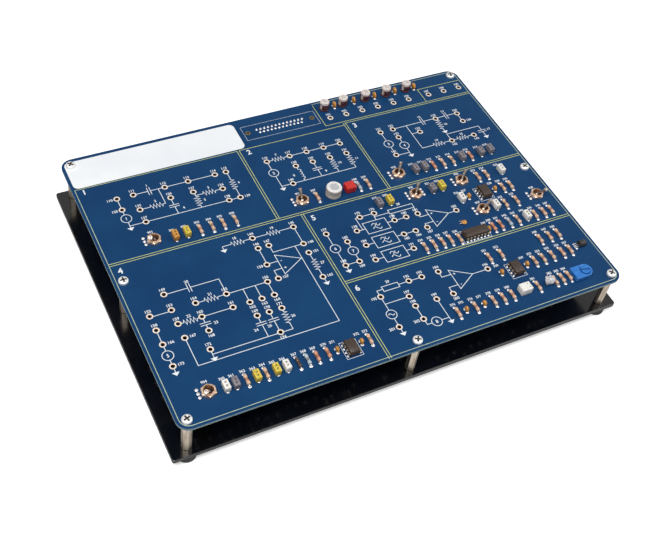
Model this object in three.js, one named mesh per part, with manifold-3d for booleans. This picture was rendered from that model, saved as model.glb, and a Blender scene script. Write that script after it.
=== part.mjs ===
// Filter trainer module: a printed circuit board with test terminals, toggle switches and soldered
// parts, carried by hexagonal spacers on a base plate with rubber feet.
// Millimetres, +X to the right, +Y to the back, +Z up. The origin is on the table, under the centre.

import * as THREE from "three";
import { mergeVertices } from "three/addons/utils/BufferGeometryUtils.js";
import Module from "manifold-3d";

const wasm = await Module();
wasm.setup();

// Driving dimensions

const board = { width: 290, depth: 210, thickness: 1.6, cornerRadius: 7.5 };
const plate = { sideOverhang: 4, thickness: 3, cornerRadius: 3 };
const spacer = { length: 25, acrossFlats: 5.5, inset: 5.9 };
const thread = { radius: 1.4, clearance: 0.3 };
const foot = { height: 5, topRadius: 5.7, bottomRadius: 5.2, rounding: 1.4, web: 2.2 };
const screw = { headRadius: 3, headHeight: 2, reach: 7, crossLength: 3.4, crossWidth: 0.8, crossDepth: 0.9 };
const overrun = 1;
const seatGap = 0.2;
const mergeTolerance = 0.0001;

const plateWidth = board.width + plate.sideOverhang * 2;
const plateBottom = foot.height;
const plateTop = plateBottom + plate.thickness;
const boardBottom = plateTop + spacer.length;
const boardTop = boardBottom + board.thickness;
const boreRadius = thread.radius + thread.clearance;

const terminal = { holeRadius: 1 };

const connector = {
  flangeWidth: 53,
  flangeDepth: 12.5,
  flangeThickness: 1,
  holdWidth: 40,
  holdDepth: 10.6,
  holdHeight: 4.4,
  shellWidth: 38.4,
  shellDepth: 7.9,
  shellHeight: 6,
  shellCorner: 2.2,
  shellSlant: 0.7,
  contactPitch: 2.77,
  rowPitch: 2.84,
  contactRadius: 0.5,
  contactDepth: 2,
  longRow: 13,
  shortRow: 12,
  jackSpacing: 47,
  jackAcrossFlats: 4.8,
  jackHeight: 5.2,
  jackBore: 1.3,
  centreShare: [0.5, 0.064],
};
const cutout = { width: 62, depth: 20, cornerRadius: 4 };

const toggle = {
  bodyLength: 13.2,
  bodyWidth: 7.9,
  bodyHeight: 9.4,
  bodyChamfer: 0.7,
  lugWidth: 2,
  lugThickness: 0.8,
  lugLength: 4,
  lugPitch: 4.7,
  bushingRadius: 3.15,
  bushingRise: 2.8,
  mouthRadius: 2.75,
  throatRadius: 1.75,
  nutAcrossFlats: 8,
  nutHeight: 1.9,
  clearance: 0.3,
};
const lever = {
  pivotRise: 0.4,
  ballRadius: 1.35,
  length: 8.2,
  neckRadius: 0.7,
  tipRadius: 1.3,
  tipLength: 3.2,
  tiltDegrees: 35,
};

const trimmer = { width: 9.2, length: 13.2, height: 3.4 };
const dial = {
  radius: 3.2,
  rise: 0.6,
  depth: 2,
  slotWidth: 0.9,
  slotDepth: 0.9,
  clearance: 0.3,
  turnDegrees: -18,
};

const chip = {
  bodyWidth: 6.4,
  bodyHeight: 3.3,
  standOff: 0.5,
  pinPitch: 2.54,
  endMargin: 1.1,
  rowSpacing: 7.62,
  pinWidth: 1.3,
  pinThickness: 0.3,
  notchRadius: 0.9,
  notchDepth: 0.6,
  taper: 0.35,
  leftGap: 1.4,
  rightGap: 0.4,
};

const coil = { radius: 5.1, height: 6.9, rounding: 0.9 };
const electrolytic = { radius: 3.3, height: 7, groove: 0.25, grooveRise: 1.3, crown: 0.4 };
const bigBox = { width: 7.4, depth: 6, height: 5.4, rounding: 0.5 };
const redBox = { width: 6.8, depth: 6.2, height: 5.1, rounding: 0.6 };
const lamp = {
  radius: 2.5,
  flangeRadius: 2.9,
  flangeHeight: 1,
  height: 5.4,
  rise: 2.7,
  tiltDegrees: 60,
  towardsDegrees: -39,
  leadWidth: 0.5,
  leadPitch: 2.54,
};
const transistor = { radius: 2.3, flat: 1.2, length: 4.6, leadRadius: 0.3, leadPitch: 1.27, leadReach: 3 };

const resistor = { radius: 1.15, length: 6.6 };
const boxCapacitor = { width: 3.5, depth: 6.2, height: 4.4 };
const discCapacitor = { radius: 2, thickness: 2 };
const solderSink = 0.25;

// How the print and the parts lie on the board: a small shift, stretch and lean against its outline
const lay = { shiftX: 0.62, shiftY: -1.13, widthLossShare: 0.0025, depthGainShare: 0.0033, leanShare: 0.0055 };

// Places on the board, as shares of its width from the left and of its depth from the back

const terminalShares = [
  [0.082, [0.623, 0.665, 0.708, 0.75, 0.793, 0.835, 0.891, 0.934, 0.977]],
  [0.2, [0.077, 0.113, 0.183, 0.236, 0.298, 0.324, 0.422, 0.478, 0.52, 0.563, 0.605]],
  [0.196, [0.713, 0.746, 0.863, 0.923]],
  [0.246, [0.077, 0.184, 0.235, 0.478, 0.52, 0.563, 0.605]],
  [0.235, [0.746, 0.804, 0.923]],
  [0.262, [0.112, 0.298]],
  [0.312, [0.112, 0.298, 0.324, 0.449]],
  [0.305, [0.712, 0.862, 0.923]],
  [0.473, [0.301, 0.395]],
  [0.514, [0.301, 0.325]],
  [0.542, [0.395]],
  [0.578, [0.079, 0.3, 0.395]],
  [0.635, [0.035, 0.079, 0.129, 0.194, 0.283, 0.307]],
  [0.684, [0.035, 0.079, 0.128, 0.193, 0.229, 0.255, 0.282]],
  [0.673, [0.394]],
  [0.733, [0.035, 0.079, 0.128, 0.229, 0.255, 0.282]],
  [0.791, [0.114]],
  [0.806, [0.035, 0.255]],
  [0.505, [0.542, 0.577]],
  [0.531, [0.452]],
  [0.551, [0.518, 0.61, 0.639, 0.668]],
  [0.579, [0.485, 0.755]],
  [0.61, [0.518, 0.61, 0.639, 0.668]],
  [0.658, [0.452, 0.484]],
  [0.669, [0.518, 0.61]],
  [0.772, [0.556, 0.587, 0.627]],
  [0.795, [0.481]],
  [0.814, [0.731]],
  [0.822, [0.537]],
  [0.858, [0.537, 0.587, 0.627]],
  [0.906, [0.48, 0.536]],
];

// Each switch: its centre and the direction of its lever, in degrees from +X towards +Y
const switchShares = [
  { name: "switch_1", at: [0.11, 0.386], leanDegrees: -138 },
  { name: "switch_2", at: [0.445, 0.388], leanDegrees: 92 },
  { name: "switch_3", at: [0.686, 0.384], leanDegrees: 54 },
  { name: "switch_4", at: [0.075, 0.912], leanDegrees: -129 },
  { name: "switch_5", at: [0.692, 0.48], leanDegrees: 52 },
  { name: "switch_6", at: [0.813, 0.476], leanDegrees: 39 },
  { name: "switch_7", at: [0.813, 0.606], leanDegrees: 9 },
  { name: "switch_8", at: [0.956, 0.608], leanDegrees: -44 },
];

const chipShares = [
  { name: "amplifier_chip_1", at: [0.366, 0.924], pins: 8, turned: false },
  { name: "amplifier_chip_2", at: [0.842, 0.546], pins: 8, turned: false },
  { name: "amplifier_chip_3", at: [0.787, 0.846], pins: 8, turned: false },
  { name: "amplifier_chip_4", at: [0.757, 0.684], pins: 14, turned: true },
];

const resistorShares = [
  [0.393, [0.209, 0.235, 0.26, 0.288]],
  [0.389, [0.481, 0.583, 0.606]],
  [0.387, [0.777, 0.802, 0.827, 0.876]],
  [0.478, [0.856, 0.879]],
  [0.545, [0.893, 0.914]],
  [0.608, [0.871, 0.901]],
  [0.679, [0.634, 0.656, 0.677, 0.697, 0.807, 0.826, 0.849, 0.871, 0.917, 0.94, 0.96]],
  [0.77, [0.886, 0.911, 0.934]],
  [0.78, [0.75, 0.78]],
  [0.838, [0.839, 0.861, 0.885, 0.911, 0.932]],
  [0.915, [0.15, 0.19, 0.256, 0.276, 0.296, 0.319, 0.41]],
  [0.923, [0.61, 0.652, 0.696, 0.719, 0.742, 0.807, 0.85, 0.868, 0.886]],
];

const boxCapacitorShares = [
  [0.395, [0.179]],
  [0.388, [0.728, 0.752, 0.852, 0.903, 0.929]],
  [0.48, [0.599, 0.625, 0.734, 0.758, 0.917]],
  [0.546, [0.782]],
  [0.608, [0.845]],
  [0.679, [0.894]],
  [0.917, [0.108, 0.127, 0.17, 0.21, 0.231]],
];

const discCapacitorShares = [
  [0.038, [0.648, 0.7, 0.756, 0.812, 0.865]],
  [0.397, [0.153]],
  [0.545, [0.802, 0.871]],
  [0.843, [0.752, 0.816]],
  [0.916, [0.338, 0.391]],
  [0.924, [0.629, 0.672]],
];

const electrolyticShares = [0.622, 0.671, 0.731, 0.788, 0.843];
const electrolyticRowShare = 0.036;
const coilShare = [0.518, 0.393];
const redBoxShare = [0.558, 0.393];
const bigBoxShare = [0.771, 0.924];
const lampShare = [0.827, 0.9203];
const transistorShare = [0.966, 0.832];
const trimmerShare = [0.916, 0.9286];

// Fineness of round shapes, in sides

const sides = {
  fastener: 8,
  head: 8,
  contact: 4,
  terminal: 6,
  foot: 12,
  toggle: 10,
  dial: 16,
  lever: 8,
  can: 12,
  lamp: 10,
  small: 6,
};

// Materials

function material(color, roughness, metalness = 0) {
  return new THREE.MeshStandardMaterial({ color, roughness, metalness });
}

const materials = {
  board: material(0x174a8c, 0.4),
  plate: material(0x101114, 0.2),
  nickel: material(0xc9c4b4, 0.3, 1),
  steel: material(0xb9bcc2, 0.35, 1),
  rubber: material(0x161616, 0.8),
  tin: material(0xa8a9a6, 0.4, 0.9),
  toggle: material(0xc89b6c, 0.35, 0.8),
  lever: material(0xa79a88, 0.3, 1),
  trimmer: material(0x1f6fc4, 0.45),
  dial: material(0x8fa3dd, 0.45),
  chip: material(0x2b2723, 0.55),
  coil: material(0xd0cdc9, 0.55),
  red: material(0xd0231c, 0.4),
  can: material(0x6d2f2c, 0.4),
  white: material(0xe9e6da, 0.45),
  clear: material(0xe8dede, 0.15),
  black: material(0x17181a, 0.5),
};

// Solids: three.js geometry in, closed solids out

function solidFrom(geometry) {
  const bare = geometry.index ? geometry.toNonIndexed() : geometry.clone();
  bare.deleteAttribute("normal");
  bare.deleteAttribute("uv");
  const merged = mergeVertices(bare, mergeTolerance);
  return new wasm.Manifold(
    new wasm.Mesh({
      numProp: 3,
      vertProperties: new Float32Array(merged.attributes.position.array),
      triVerts: new Uint32Array(merged.index.array),
    }),
  );
}

function geometryFrom(solid) {
  const mesh = solid.getMesh();
  const geometry = new THREE.BufferGeometry();
  geometry.setAttribute("position", new THREE.BufferAttribute(mesh.vertProperties, 3));
  geometry.setIndex(new THREE.BufferAttribute(mesh.triVerts, 1));
  const flat = geometry.toNonIndexed();
  flat.computeVertexNormals();
  return flat;
}

function moved(geometry, x, y, z) {
  return geometry.translate(x, y, z);
}

function joined(geometries) {
  return wasm.Manifold.union(geometries.map(solidFrom));
}

// A box that stands on the height z, centred on x and y
function block(width, depth, height, x = 0, y = 0, z = 0) {
  return moved(new THREE.BoxGeometry(width, depth, height), x, y, z + height / 2);
}

// A round or many-sided pillar that stands on the height z
function pillar(radius, height, sideCount, x = 0, y = 0, z = 0, topRadius = radius) {
  const geometry = new THREE.CylinderGeometry(topRadius, radius, height, sideCount);
  return moved(geometry.rotateX(Math.PI / 2), x, y, z + height / 2);
}

// The radius to a polygon's corners, from the distance of its flats to the centre
function cornerRadius(flatRadius, sideCount) {
  return flatRadius / Math.cos(Math.PI / sideCount);
}

function hexPillar(acrossFlats, height, x, y, z) {
  return pillar(cornerRadius(acrossFlats / 2, 6), height, 6, x, y, z);
}

// A bore cutter whose flats keep the full radius clear
function boreCutter(radius, height, sideCount, x, y, z) {
  return pillar(cornerRadius(radius, sideCount), height, sideCount, x, y, z);
}

// A profile of [radius, height] points, from the axis up and round to the axis, turned about +Z
function turned(points, sideCount, x = 0, y = 0, z = 0) {
  const profile = points.map(([radius, height]) => new THREE.Vector2(radius, height));
  const geometry = new THREE.LatheGeometry(profile, sideCount);
  return moved(geometry.rotateX(Math.PI / 2), x, y, z);
}

function roundedRectangle(width, depth, radius) {
  const right = width / 2;
  const back = depth / 2;
  const shape = new THREE.Shape();
  shape.moveTo(-right + radius, -back);
  shape.lineTo(right - radius, -back);
  shape.absarc(right - radius, -back + radius, radius, -Math.PI / 2, 0);
  shape.absarc(right - radius, back - radius, radius, 0, Math.PI / 2);
  shape.absarc(-right + radius, back - radius, radius, Math.PI / 2, Math.PI);
  shape.absarc(-right + radius, -back + radius, radius, Math.PI, Math.PI * 1.5);
  return shape;
}

function extruded(shape, height, z = 0, curveSegments = 5) {
  const geometry = new THREE.ExtrudeGeometry(shape, { depth: height, bevelEnabled: false, curveSegments });
  return moved(geometry, 0, 0, z);
}

// A polygon's hole in a shape, wound against the outline
function roundHole(radius, sideCount, x, y) {
  const corner = cornerRadius(radius, sideCount);
  const points = Array.from({ length: sideCount }, (_, index) => {
    const angle = -((index + 0.5) / sideCount) * Math.PI * 2;
    return new THREE.Vector2(x + corner * Math.cos(angle), y + corner * Math.sin(angle));
  });
  return new THREE.Path(points);
}

// Places

function onBoard([widthShare, depthShare]) {
  const x = (widthShare - 0.5) * board.width;
  const y = (0.5 - depthShare) * board.depth;
  return [
    x * (1 - lay.widthLossShare) + lay.shiftX,
    y * (1 + lay.depthGainShare) + lay.shiftY - x * lay.leanShare,
  ];
}

function rowPlaces(rows) {
  return rows.flatMap(([depthShare, widthShares]) => widthShares.map((share) => onBoard([share, depthShare])));
}

const spacerX = board.width / 2 - spacer.inset;
const spacerY = board.depth / 2 - spacer.inset;
const cornerPlaces = [
  { name: "front_left", at: [-spacerX, -spacerY] },
  { name: "front_right", at: [spacerX, -spacerY] },
  { name: "back_left", at: [-spacerX, spacerY] },
  { name: "back_right", at: [spacerX, spacerY] },
];
const middlePlaces = [
  { name: "front_middle", at: [0, -spacerY] },
  { name: "left_middle", at: [-spacerX, 0] },
  { name: "right_middle", at: [spacerX, 0] },
];
const spacerPlaces = [...cornerPlaces, ...middlePlaces];

// The module, filled by the functions below

const module = new THREE.Group();

function addPiece(name, solid, look, parent = module) {
  const mesh = new THREE.Mesh(geometryFrom(solid), look);
  mesh.name = name;
  parent.add(mesh);
  return mesh;
}

// Board: one drilled plate, with the small soldered parts joined to its face

function boardPlate() {
  const outline = roundedRectangle(board.width, board.depth, board.cornerRadius);
  for (const [x, y] of rowPlaces(terminalShares)) {
    outline.holes.push(roundHole(terminal.holeRadius, sides.terminal, x, y));
  }
  for (const { at } of spacerPlaces) {
    outline.holes.push(roundHole(boreRadius, sides.fastener, ...at));
  }
  for (const { at } of switchShares) {
    outline.holes.push(roundHole(toggle.bushingRadius + toggle.clearance, sides.toggle, ...onBoard(at)));
  }
  return extruded(outline, board.thickness, boardBottom);
}

// A resistor lies along Y, sunk a little into its solder
function resistorForm([x, y]) {
  const body = new THREE.CylinderGeometry(resistor.radius, resistor.radius, resistor.length, sides.small);
  return moved(body, x, y, boardTop + resistor.radius - solderSink);
}

function boxCapacitorForm([x, y]) {
  const { width, depth, height } = boxCapacitor;
  return block(width, depth, height + solderSink, x, y, boardTop - solderSink);
}

// A disc capacitor stands on its rim, its flat faces to the left and right
function discCapacitorForm([x, y]) {
  const { radius, thickness } = discCapacitor;
  const disc = new THREE.CylinderGeometry(radius, radius, thickness, sides.fastener);
  return moved(disc.rotateZ(Math.PI / 2), x, y, boardTop + radius - solderSink * 2);
}

function chipLength(pinCount) {
  return (pinCount / 2 - 1) * chip.pinPitch + chip.endMargin * 2;
}

// The long chip's neighbours keep their gaps to its ends: a resistor on the left, a disc on the right
function besideLongChip() {
  const { at, pins } = chipShares.find(({ turned: quarter }) => quarter);
  const [x, y] = onBoard(at);
  const left = x - chipLength(pins) / 2 - chip.leftGap - resistor.radius;
  const right = x + chipLength(pins) / 2 + chip.rightGap + discCapacitor.thickness / 2;
  return [resistorForm([left, y]), discCapacitorForm([right, y])];
}

function addBoard() {
  const small = [
    ...besideLongChip(),
    ...rowPlaces(resistorShares).map(resistorForm),
    ...rowPlaces(boxCapacitorShares).map(boxCapacitorForm),
    ...rowPlaces(discCapacitorShares).map(discCapacitorForm),
  ];
  addPiece("circuit_board", joined([boardPlate(), ...small]), materials.board);
}

// Base plate, with the way through for the plug of the connector above it

function addBasePlate() {
  const outline = roundedRectangle(plateWidth, board.depth, plate.cornerRadius);
  for (const { at } of spacerPlaces) {
    outline.holes.push(roundHole(boreRadius, sides.fastener, ...at));
  }
  const [x, y] = onBoard(connector.centreShare);
  const opening = roundedRectangle(cutout.width, cutout.depth, cutout.cornerRadius);
  const edge = opening.getPoints(4).map((point) => point.add(new THREE.Vector2(x, y)));
  outline.holes.push(new THREE.Path(edge.reverse()));
  addPiece("base_plate", joined([extruded(outline, plate.thickness, plateBottom)]), materials.plate);
}

// Fasteners and feet

function addSpacers() {
  for (const { name, at } of spacerPlaces) {
    const outer = joined([hexPillar(spacer.acrossFlats, spacer.length, ...at, plateTop)]);
    const bore = joined([
      boreCutter(boreRadius, spacer.length + overrun * 2, sides.fastener, ...at, plateTop - overrun),
    ]);
    addPiece(`spacer_${name}`, outer.subtract(bore), materials.nickel);
  }
}

// A pan-head screw with a cross recess, its head's seat at z = 0 and its shank downwards
function screwSolid(reach) {
  const { headRadius, headHeight } = screw;
  const head = [
    [0, -reach],
    [thread.radius, -reach],
    [thread.radius, 0],
    [headRadius, 0],
    [headRadius, headHeight * 0.45],
    [headRadius * 0.7, headHeight * 0.95],
    [0, headHeight],
  ];
  const recess = joined([
    block(screw.crossLength, screw.crossWidth, screw.crossDepth + overrun, 0, 0, headHeight - screw.crossDepth),
    block(screw.crossWidth, screw.crossLength, screw.crossDepth + overrun, 0, 0, headHeight - screw.crossDepth),
  ]);
  return joined([turned(head, sides.head)]).subtract(recess);
}

function addBoardScrews() {
  const solid = screwSolid(screw.reach);
  for (const { name, at } of spacerPlaces) {
    addPiece(`board_screw_${name}`, solid, materials.steel).position.set(...at, boardTop);
  }
}

// The base screws point up. The corner ones hold a foot between head and plate.
function addBaseScrews() {
  const seats = [
    ...cornerPlaces.map((place) => ({ ...place, clamped: foot.web })),
    ...middlePlaces.map((place) => ({ ...place, clamped: 0 })),
  ];
  for (const { name, at, clamped } of seats) {
    const mesh = addPiece(`base_screw_${name}`, screwSolid(screw.reach + clamped), materials.steel);
    mesh.rotation.x = Math.PI;
    mesh.position.set(...at, plateBottom - clamped);
  }
}

function footSolid() {
  const recess = screw.headRadius + thread.clearance;
  const web = foot.height - foot.web;
  const edge = foot.rounding;
  const profile = [
    [boreRadius, web],
    [recess, web],
    [recess, 0],
    [foot.bottomRadius - edge * 0.5, 0],
    [foot.bottomRadius, edge * 0.4],
    [foot.topRadius, foot.height - edge * 0.6],
    [foot.topRadius, foot.height],
    [boreRadius, foot.height],
    [boreRadius, web],
  ];
  return joined([turned(profile, sides.foot)]);
}

function addFeet() {
  const solid = footSolid();
  for (const { name, at } of cornerPlaces) {
    addPiece(`rubber_foot_${name}`, solid, materials.rubber).position.set(...at, 0);
  }
}

// Connector under the board: insulator, flange, shell with its contact sockets, and hexagonal jacks

function shellShape() {
  const { shellWidth, shellDepth, shellCorner, shellSlant } = connector;
  const wide = shellWidth / 2;
  const narrow = wide - shellSlant * 2;
  const half = shellDepth / 2;
  const shape = new THREE.Shape();
  shape.moveTo(-narrow + shellCorner, -half);
  shape.lineTo(narrow - shellCorner, -half);
  shape.quadraticCurveTo(narrow, -half, narrow + shellSlant * 0.4, -half + shellCorner);
  shape.lineTo(wide - shellSlant * 0.2, half - shellCorner);
  shape.quadraticCurveTo(wide, half, wide - shellCorner, half);
  shape.lineTo(-wide + shellCorner, half);
  shape.quadraticCurveTo(-wide, half, -wide + shellSlant * 0.2, half - shellCorner);
  shape.lineTo(-narrow - shellSlant * 0.4, -half + shellCorner);
  shape.quadraticCurveTo(-narrow, -half, -narrow + shellCorner, -half);
  return shape;
}

function contactPlaces() {
  const row = (count, y) =>
    Array.from({ length: count }, (_, index) => [(index - (count - 1) / 2) * connector.contactPitch, y]);
  return [
    ...row(connector.longRow, connector.rowPitch / 2),
    ...row(connector.shortRow, -connector.rowPitch / 2),
  ];
}

function addConnector() {
  const c = connector;
  const flangeTop = -c.holdHeight;
  const flangeBottom = flangeTop - c.flangeThickness;
  const shellBottom = flangeBottom - c.shellHeight;
  const jackX = c.jackSpacing / 2;
  const body = joined([
    block(c.holdWidth, c.holdDepth, c.holdHeight, 0, 0, flangeTop),
    extruded(roundedRectangle(c.flangeWidth, c.flangeDepth, c.shellCorner), c.flangeThickness, flangeBottom, 3),
    extruded(shellShape(), c.shellHeight, shellBottom, 3),
    ...[-jackX, jackX].flatMap((x) => [
      hexPillar(c.jackAcrossFlats, c.jackHeight, x, 0, flangeBottom - c.jackHeight),
      hexPillar(c.jackAcrossFlats, c.holdHeight, x, 0, flangeTop),
    ]),
  ]);
  const contactDepth = c.contactDepth + overrun;
  const sockets = joined([
    ...contactPlaces().map(([x, y]) =>
      pillar(c.contactRadius, contactDepth, sides.contact, x, y, shellBottom - overrun),
    ),
    ...[-jackX, jackX].map((x) =>
      pillar(c.jackBore, c.jackHeight + overrun, sides.small, x, 0, flangeBottom - c.jackHeight - overrun),
    ),
  ]);
  const mesh = addPiece("data_connector", body.subtract(sockets), materials.tin);
  mesh.position.set(...onBoard(c.centreShare), boardBottom);
}

// Toggle switches. Each stands in a group turned so that its lever swings in the group's XZ plane.

function toggleBodySolid() {
  const t = toggle;
  const bodyTop = -board.thickness - seatGap;
  const chamfer = t.bodyChamfer;
  const caseShape = new THREE.Shape([
    new THREE.Vector2(-t.bodyLength / 2 + chamfer, -t.bodyWidth / 2),
    new THREE.Vector2(t.bodyLength / 2 - chamfer, -t.bodyWidth / 2),
    new THREE.Vector2(t.bodyLength / 2, -t.bodyWidth / 2 + chamfer),
    new THREE.Vector2(t.bodyLength / 2, t.bodyWidth / 2 - chamfer),
    new THREE.Vector2(t.bodyLength / 2 - chamfer, t.bodyWidth / 2),
    new THREE.Vector2(-t.bodyLength / 2 + chamfer, t.bodyWidth / 2),
    new THREE.Vector2(-t.bodyLength / 2, t.bodyWidth / 2 - chamfer),
    new THREE.Vector2(-t.bodyLength / 2, -t.bodyWidth / 2 + chamfer),
  ]);
  const lugs = [-t.lugPitch, 0, t.lugPitch].map((x) =>
    block(t.lugThickness, t.lugWidth, t.lugLength + overrun, x, 0, bodyTop - t.bodyHeight - t.lugLength),
  );
  const outer = joined([
    extruded(caseShape, t.bodyHeight, bodyTop - t.bodyHeight),
    pillar(t.bushingRadius, t.bushingRise - bodyTop + overrun, sides.toggle, 0, 0, bodyTop - overrun),
    hexPillar(t.nutAcrossFlats, t.nutHeight, 0, 0, seatGap),
    ...lugs,
  ]);
  const seatDepth = lever.pivotRise - lever.ballRadius - t.clearance;
  const socket = [
    [0, seatDepth],
    [lever.ballRadius + t.clearance, seatDepth],
    [t.throatRadius, lever.pivotRise],
    [t.mouthRadius, t.bushingRise],
    [t.mouthRadius, t.bushingRise + overrun],
    [0, t.bushingRise + overrun],
  ];
  return outer.subtract(joined([turned(socket, sides.toggle)]));
}

// The lever stands on its pivot ball, straight up along Z
function leverSolid() {
  const l = lever;
  const ballPoints = [-90, -40, 10].map((degrees) => {
    const angle = THREE.MathUtils.degToRad(degrees);
    return [l.ballRadius * Math.cos(angle), l.ballRadius * Math.sin(angle)];
  });
  const tipStart = l.length - l.tipLength;
  const profile = [
    [0, ballPoints[0][1]],
    ...ballPoints.slice(1),
    [l.neckRadius, l.ballRadius * 0.85],
    [l.neckRadius * 1.1, tipStart],
    [l.tipRadius, l.length - l.tipRadius * 0.6],
    [l.tipRadius * 0.9, l.length - l.tipRadius * 0.15],
    [l.tipRadius * 0.65, l.length],
    [0, l.length],
  ];
  return joined([turned(profile, sides.lever)]);
}

function addToggles() {
  const body = toggleBodySolid();
  const stick = leverSolid();
  for (const { name, at, leanDegrees } of switchShares) {
    const group = new THREE.Group();
    group.position.set(...onBoard(at), boardTop);
    group.rotation.z = THREE.MathUtils.degToRad(leanDegrees);
    addPiece(`${name}_body`, body, materials.toggle, group);
    const mesh = addPiece(`${name}_lever`, stick, materials.lever, group);
    mesh.position.z = lever.pivotRise;
    mesh.rotation.y = THREE.MathUtils.degToRad(lever.tiltDegrees);
    module.add(group);
  }
}

// Trimmer: a housing with one round end, and the slotted dial sunk into its top

function addTrimmer() {
  const half = trimmer.width / 2;
  const flatEnd = -trimmer.length / 2;
  const roundCentre = trimmer.length / 2 - half;
  const outline = new THREE.Shape();
  outline.moveTo(flatEnd, -half);
  outline.lineTo(roundCentre, -half);
  outline.absarc(roundCentre, 0, half, -Math.PI / 2, Math.PI / 2);
  outline.lineTo(flatEnd, half);
  const housing = joined([extruded(outline, trimmer.height, 0, 10)]);
  const pocketRadius = dial.radius + dial.clearance;
  const pocketDepth = dial.depth + dial.clearance;
  const pocketBottom = trimmer.height - pocketDepth;
  const pocket = joined([
    boreCutter(pocketRadius, pocketDepth + overrun, sides.dial, roundCentre, 0, pocketBottom),
  ]);
  const group = new THREE.Group();
  group.position.set(...onBoard(trimmerShare), boardTop);
  module.add(group);
  addPiece("trimmer_housing", housing.subtract(pocket), materials.trimmer, group);

  const discHeight = dial.depth + dial.rise;
  const slotBottom = discHeight - dial.slotDepth;
  const slot = joined([block(dial.slotWidth, dial.radius * 1.6, dial.slotDepth + overrun, 0, 0, slotBottom)]);
  const disc = joined([pillar(dial.radius, discHeight, sides.dial)]);
  const mesh = addPiece("trimmer_dial", disc.subtract(slot), materials.dial, group);
  mesh.position.set(roundCentre, 0, trimmer.height - dial.depth);
  mesh.rotation.z = THREE.MathUtils.degToRad(dial.turnDegrees);
}

// Integrated circuits: a tapered body with a notch, and pins bent down on both long sides

function chipPin(side, y) {
  const inner = chip.bodyWidth / 2 - chip.taper - chip.pinWidth;
  const outer = chip.rowSpacing / 2;
  const shoulder = chip.standOff + chip.bodyHeight / 2;
  const reach = outer - inner;
  const x = side * (inner + reach / 2);
  const legX = side * (outer - chip.pinThickness / 2);
  return [
    block(reach, chip.pinWidth, chip.pinThickness, x, y, shoulder - chip.pinThickness),
    block(chip.pinThickness, chip.pinWidth, shoulder, legX, y, 0),
  ];
}

function chipSolid(pinCount) {
  const perSide = pinCount / 2;
  const length = chipLength(pinCount);
  const width = chip.bodyWidth;
  const section = new THREE.Shape([
    new THREE.Vector2(-width / 2 + chip.taper, 0),
    new THREE.Vector2(width / 2 - chip.taper, 0),
    new THREE.Vector2(width / 2, chip.bodyHeight / 2),
    new THREE.Vector2(width / 2 - chip.taper, chip.bodyHeight),
    new THREE.Vector2(-width / 2 + chip.taper, chip.bodyHeight),
    new THREE.Vector2(-width / 2, chip.bodyHeight / 2),
  ]);
  const body = new THREE.ExtrudeGeometry(section, { depth: length, bevelEnabled: false });
  body.rotateX(Math.PI / 2);
  moved(body, 0, length / 2, chip.standOff);
  const pins = Array.from({ length: perSide }, (_, index) => (index - (perSide - 1) / 2) * chip.pinPitch);
  const parts = [body, ...pins.flatMap((y) => [...chipPin(-1, y), ...chipPin(1, y)])];
  const top = chip.standOff + chip.bodyHeight;
  const notch = joined([
    pillar(chip.notchRadius, chip.notchDepth + overrun, sides.fastener, 0, length / 2, top - chip.notchDepth),
  ]);
  return joined(parts).subtract(notch);
}

function addChips() {
  for (const { name, at, pins, turned: quarter } of chipShares) {
    const mesh = addPiece(name, chipSolid(pins), materials.chip);
    mesh.position.set(...onBoard(at), boardTop + seatGap);
    mesh.rotation.z = quarter ? Math.PI / 2 : 0;
  }
}

// The larger soldered parts

function addCoil() {
  const profile = [
    [0, 0],
    [coil.radius, 0],
    [coil.radius, coil.height - coil.rounding],
    [coil.radius - coil.rounding * 0.35, coil.height - coil.rounding * 0.35],
    [coil.radius - coil.rounding, coil.height],
    [0, coil.height],
  ];
  const mesh = addPiece("coil", joined([turned(profile, sides.dial)]), materials.coil);
  mesh.position.set(...onBoard(coilShare), boardTop);
}

function addElectrolytics() {
  const e = electrolytic;
  const profile = [
    [0, 0],
    [e.radius, 0],
    [e.radius, e.grooveRise - e.groove],
    [e.radius - e.groove, e.grooveRise],
    [e.radius, e.grooveRise + e.groove],
    [e.radius, e.height - e.crown],
    [e.radius - e.crown, e.height],
    [0, e.height],
  ];
  const can = joined([turned(profile, sides.can)]);
  electrolyticShares.forEach((share, index) => {
    const mesh = addPiece(`electrolytic_${index + 1}`, can, materials.can);
    mesh.position.set(...onBoard([share, electrolyticRowShare]), boardTop);
  });
}

function roundedBox({ width, depth, height, rounding }) {
  return joined([extruded(roundedRectangle(width, depth, rounding), height, 0, 2)]);
}

function addBoxes() {
  const white = addPiece("white_capacitor", roundedBox(bigBox), materials.white);
  white.position.set(...onBoard(bigBoxShare), boardTop);
  const red = addPiece("red_capacitor", roundedBox(redBox), materials.red);
  red.position.set(...onBoard(redBoxShare), boardTop);
}

// The lamp hangs on two leads and leans over towards the front right
function addLamp() {
  const { radius, flangeRadius, flangeHeight, height, rise, leadWidth, leadPitch } = lamp;
  const shoulder = height - radius;
  const profile = [
    [0, 0],
    [flangeRadius, 0],
    [flangeRadius, flangeHeight],
    [radius, flangeHeight],
    [radius, shoulder],
    [radius * Math.cos(Math.PI / 6), shoulder + radius * Math.sin(Math.PI / 6)],
    [radius * Math.cos(Math.PI / 3), shoulder + radius * Math.sin(Math.PI / 3)],
    [0, height],
  ];
  const bulb = turned(profile, sides.lamp).rotateY(THREE.MathUtils.degToRad(lamp.tiltDegrees));
  const leads = [-1, 1].map((side) =>
    block(leadWidth, leadWidth, rise + flangeHeight / 2, 0, (side * leadPitch) / 2, 0),
  );
  const parts = [moved(bulb, 0, 0, rise), ...leads];
  parts.forEach((part) => part.rotateZ(THREE.MathUtils.degToRad(lamp.towardsDegrees)));
  const mesh = addPiece("indicator_lamp", joined(parts), materials.clear);
  mesh.position.set(...onBoard(lampShare), boardTop);
}

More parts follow.
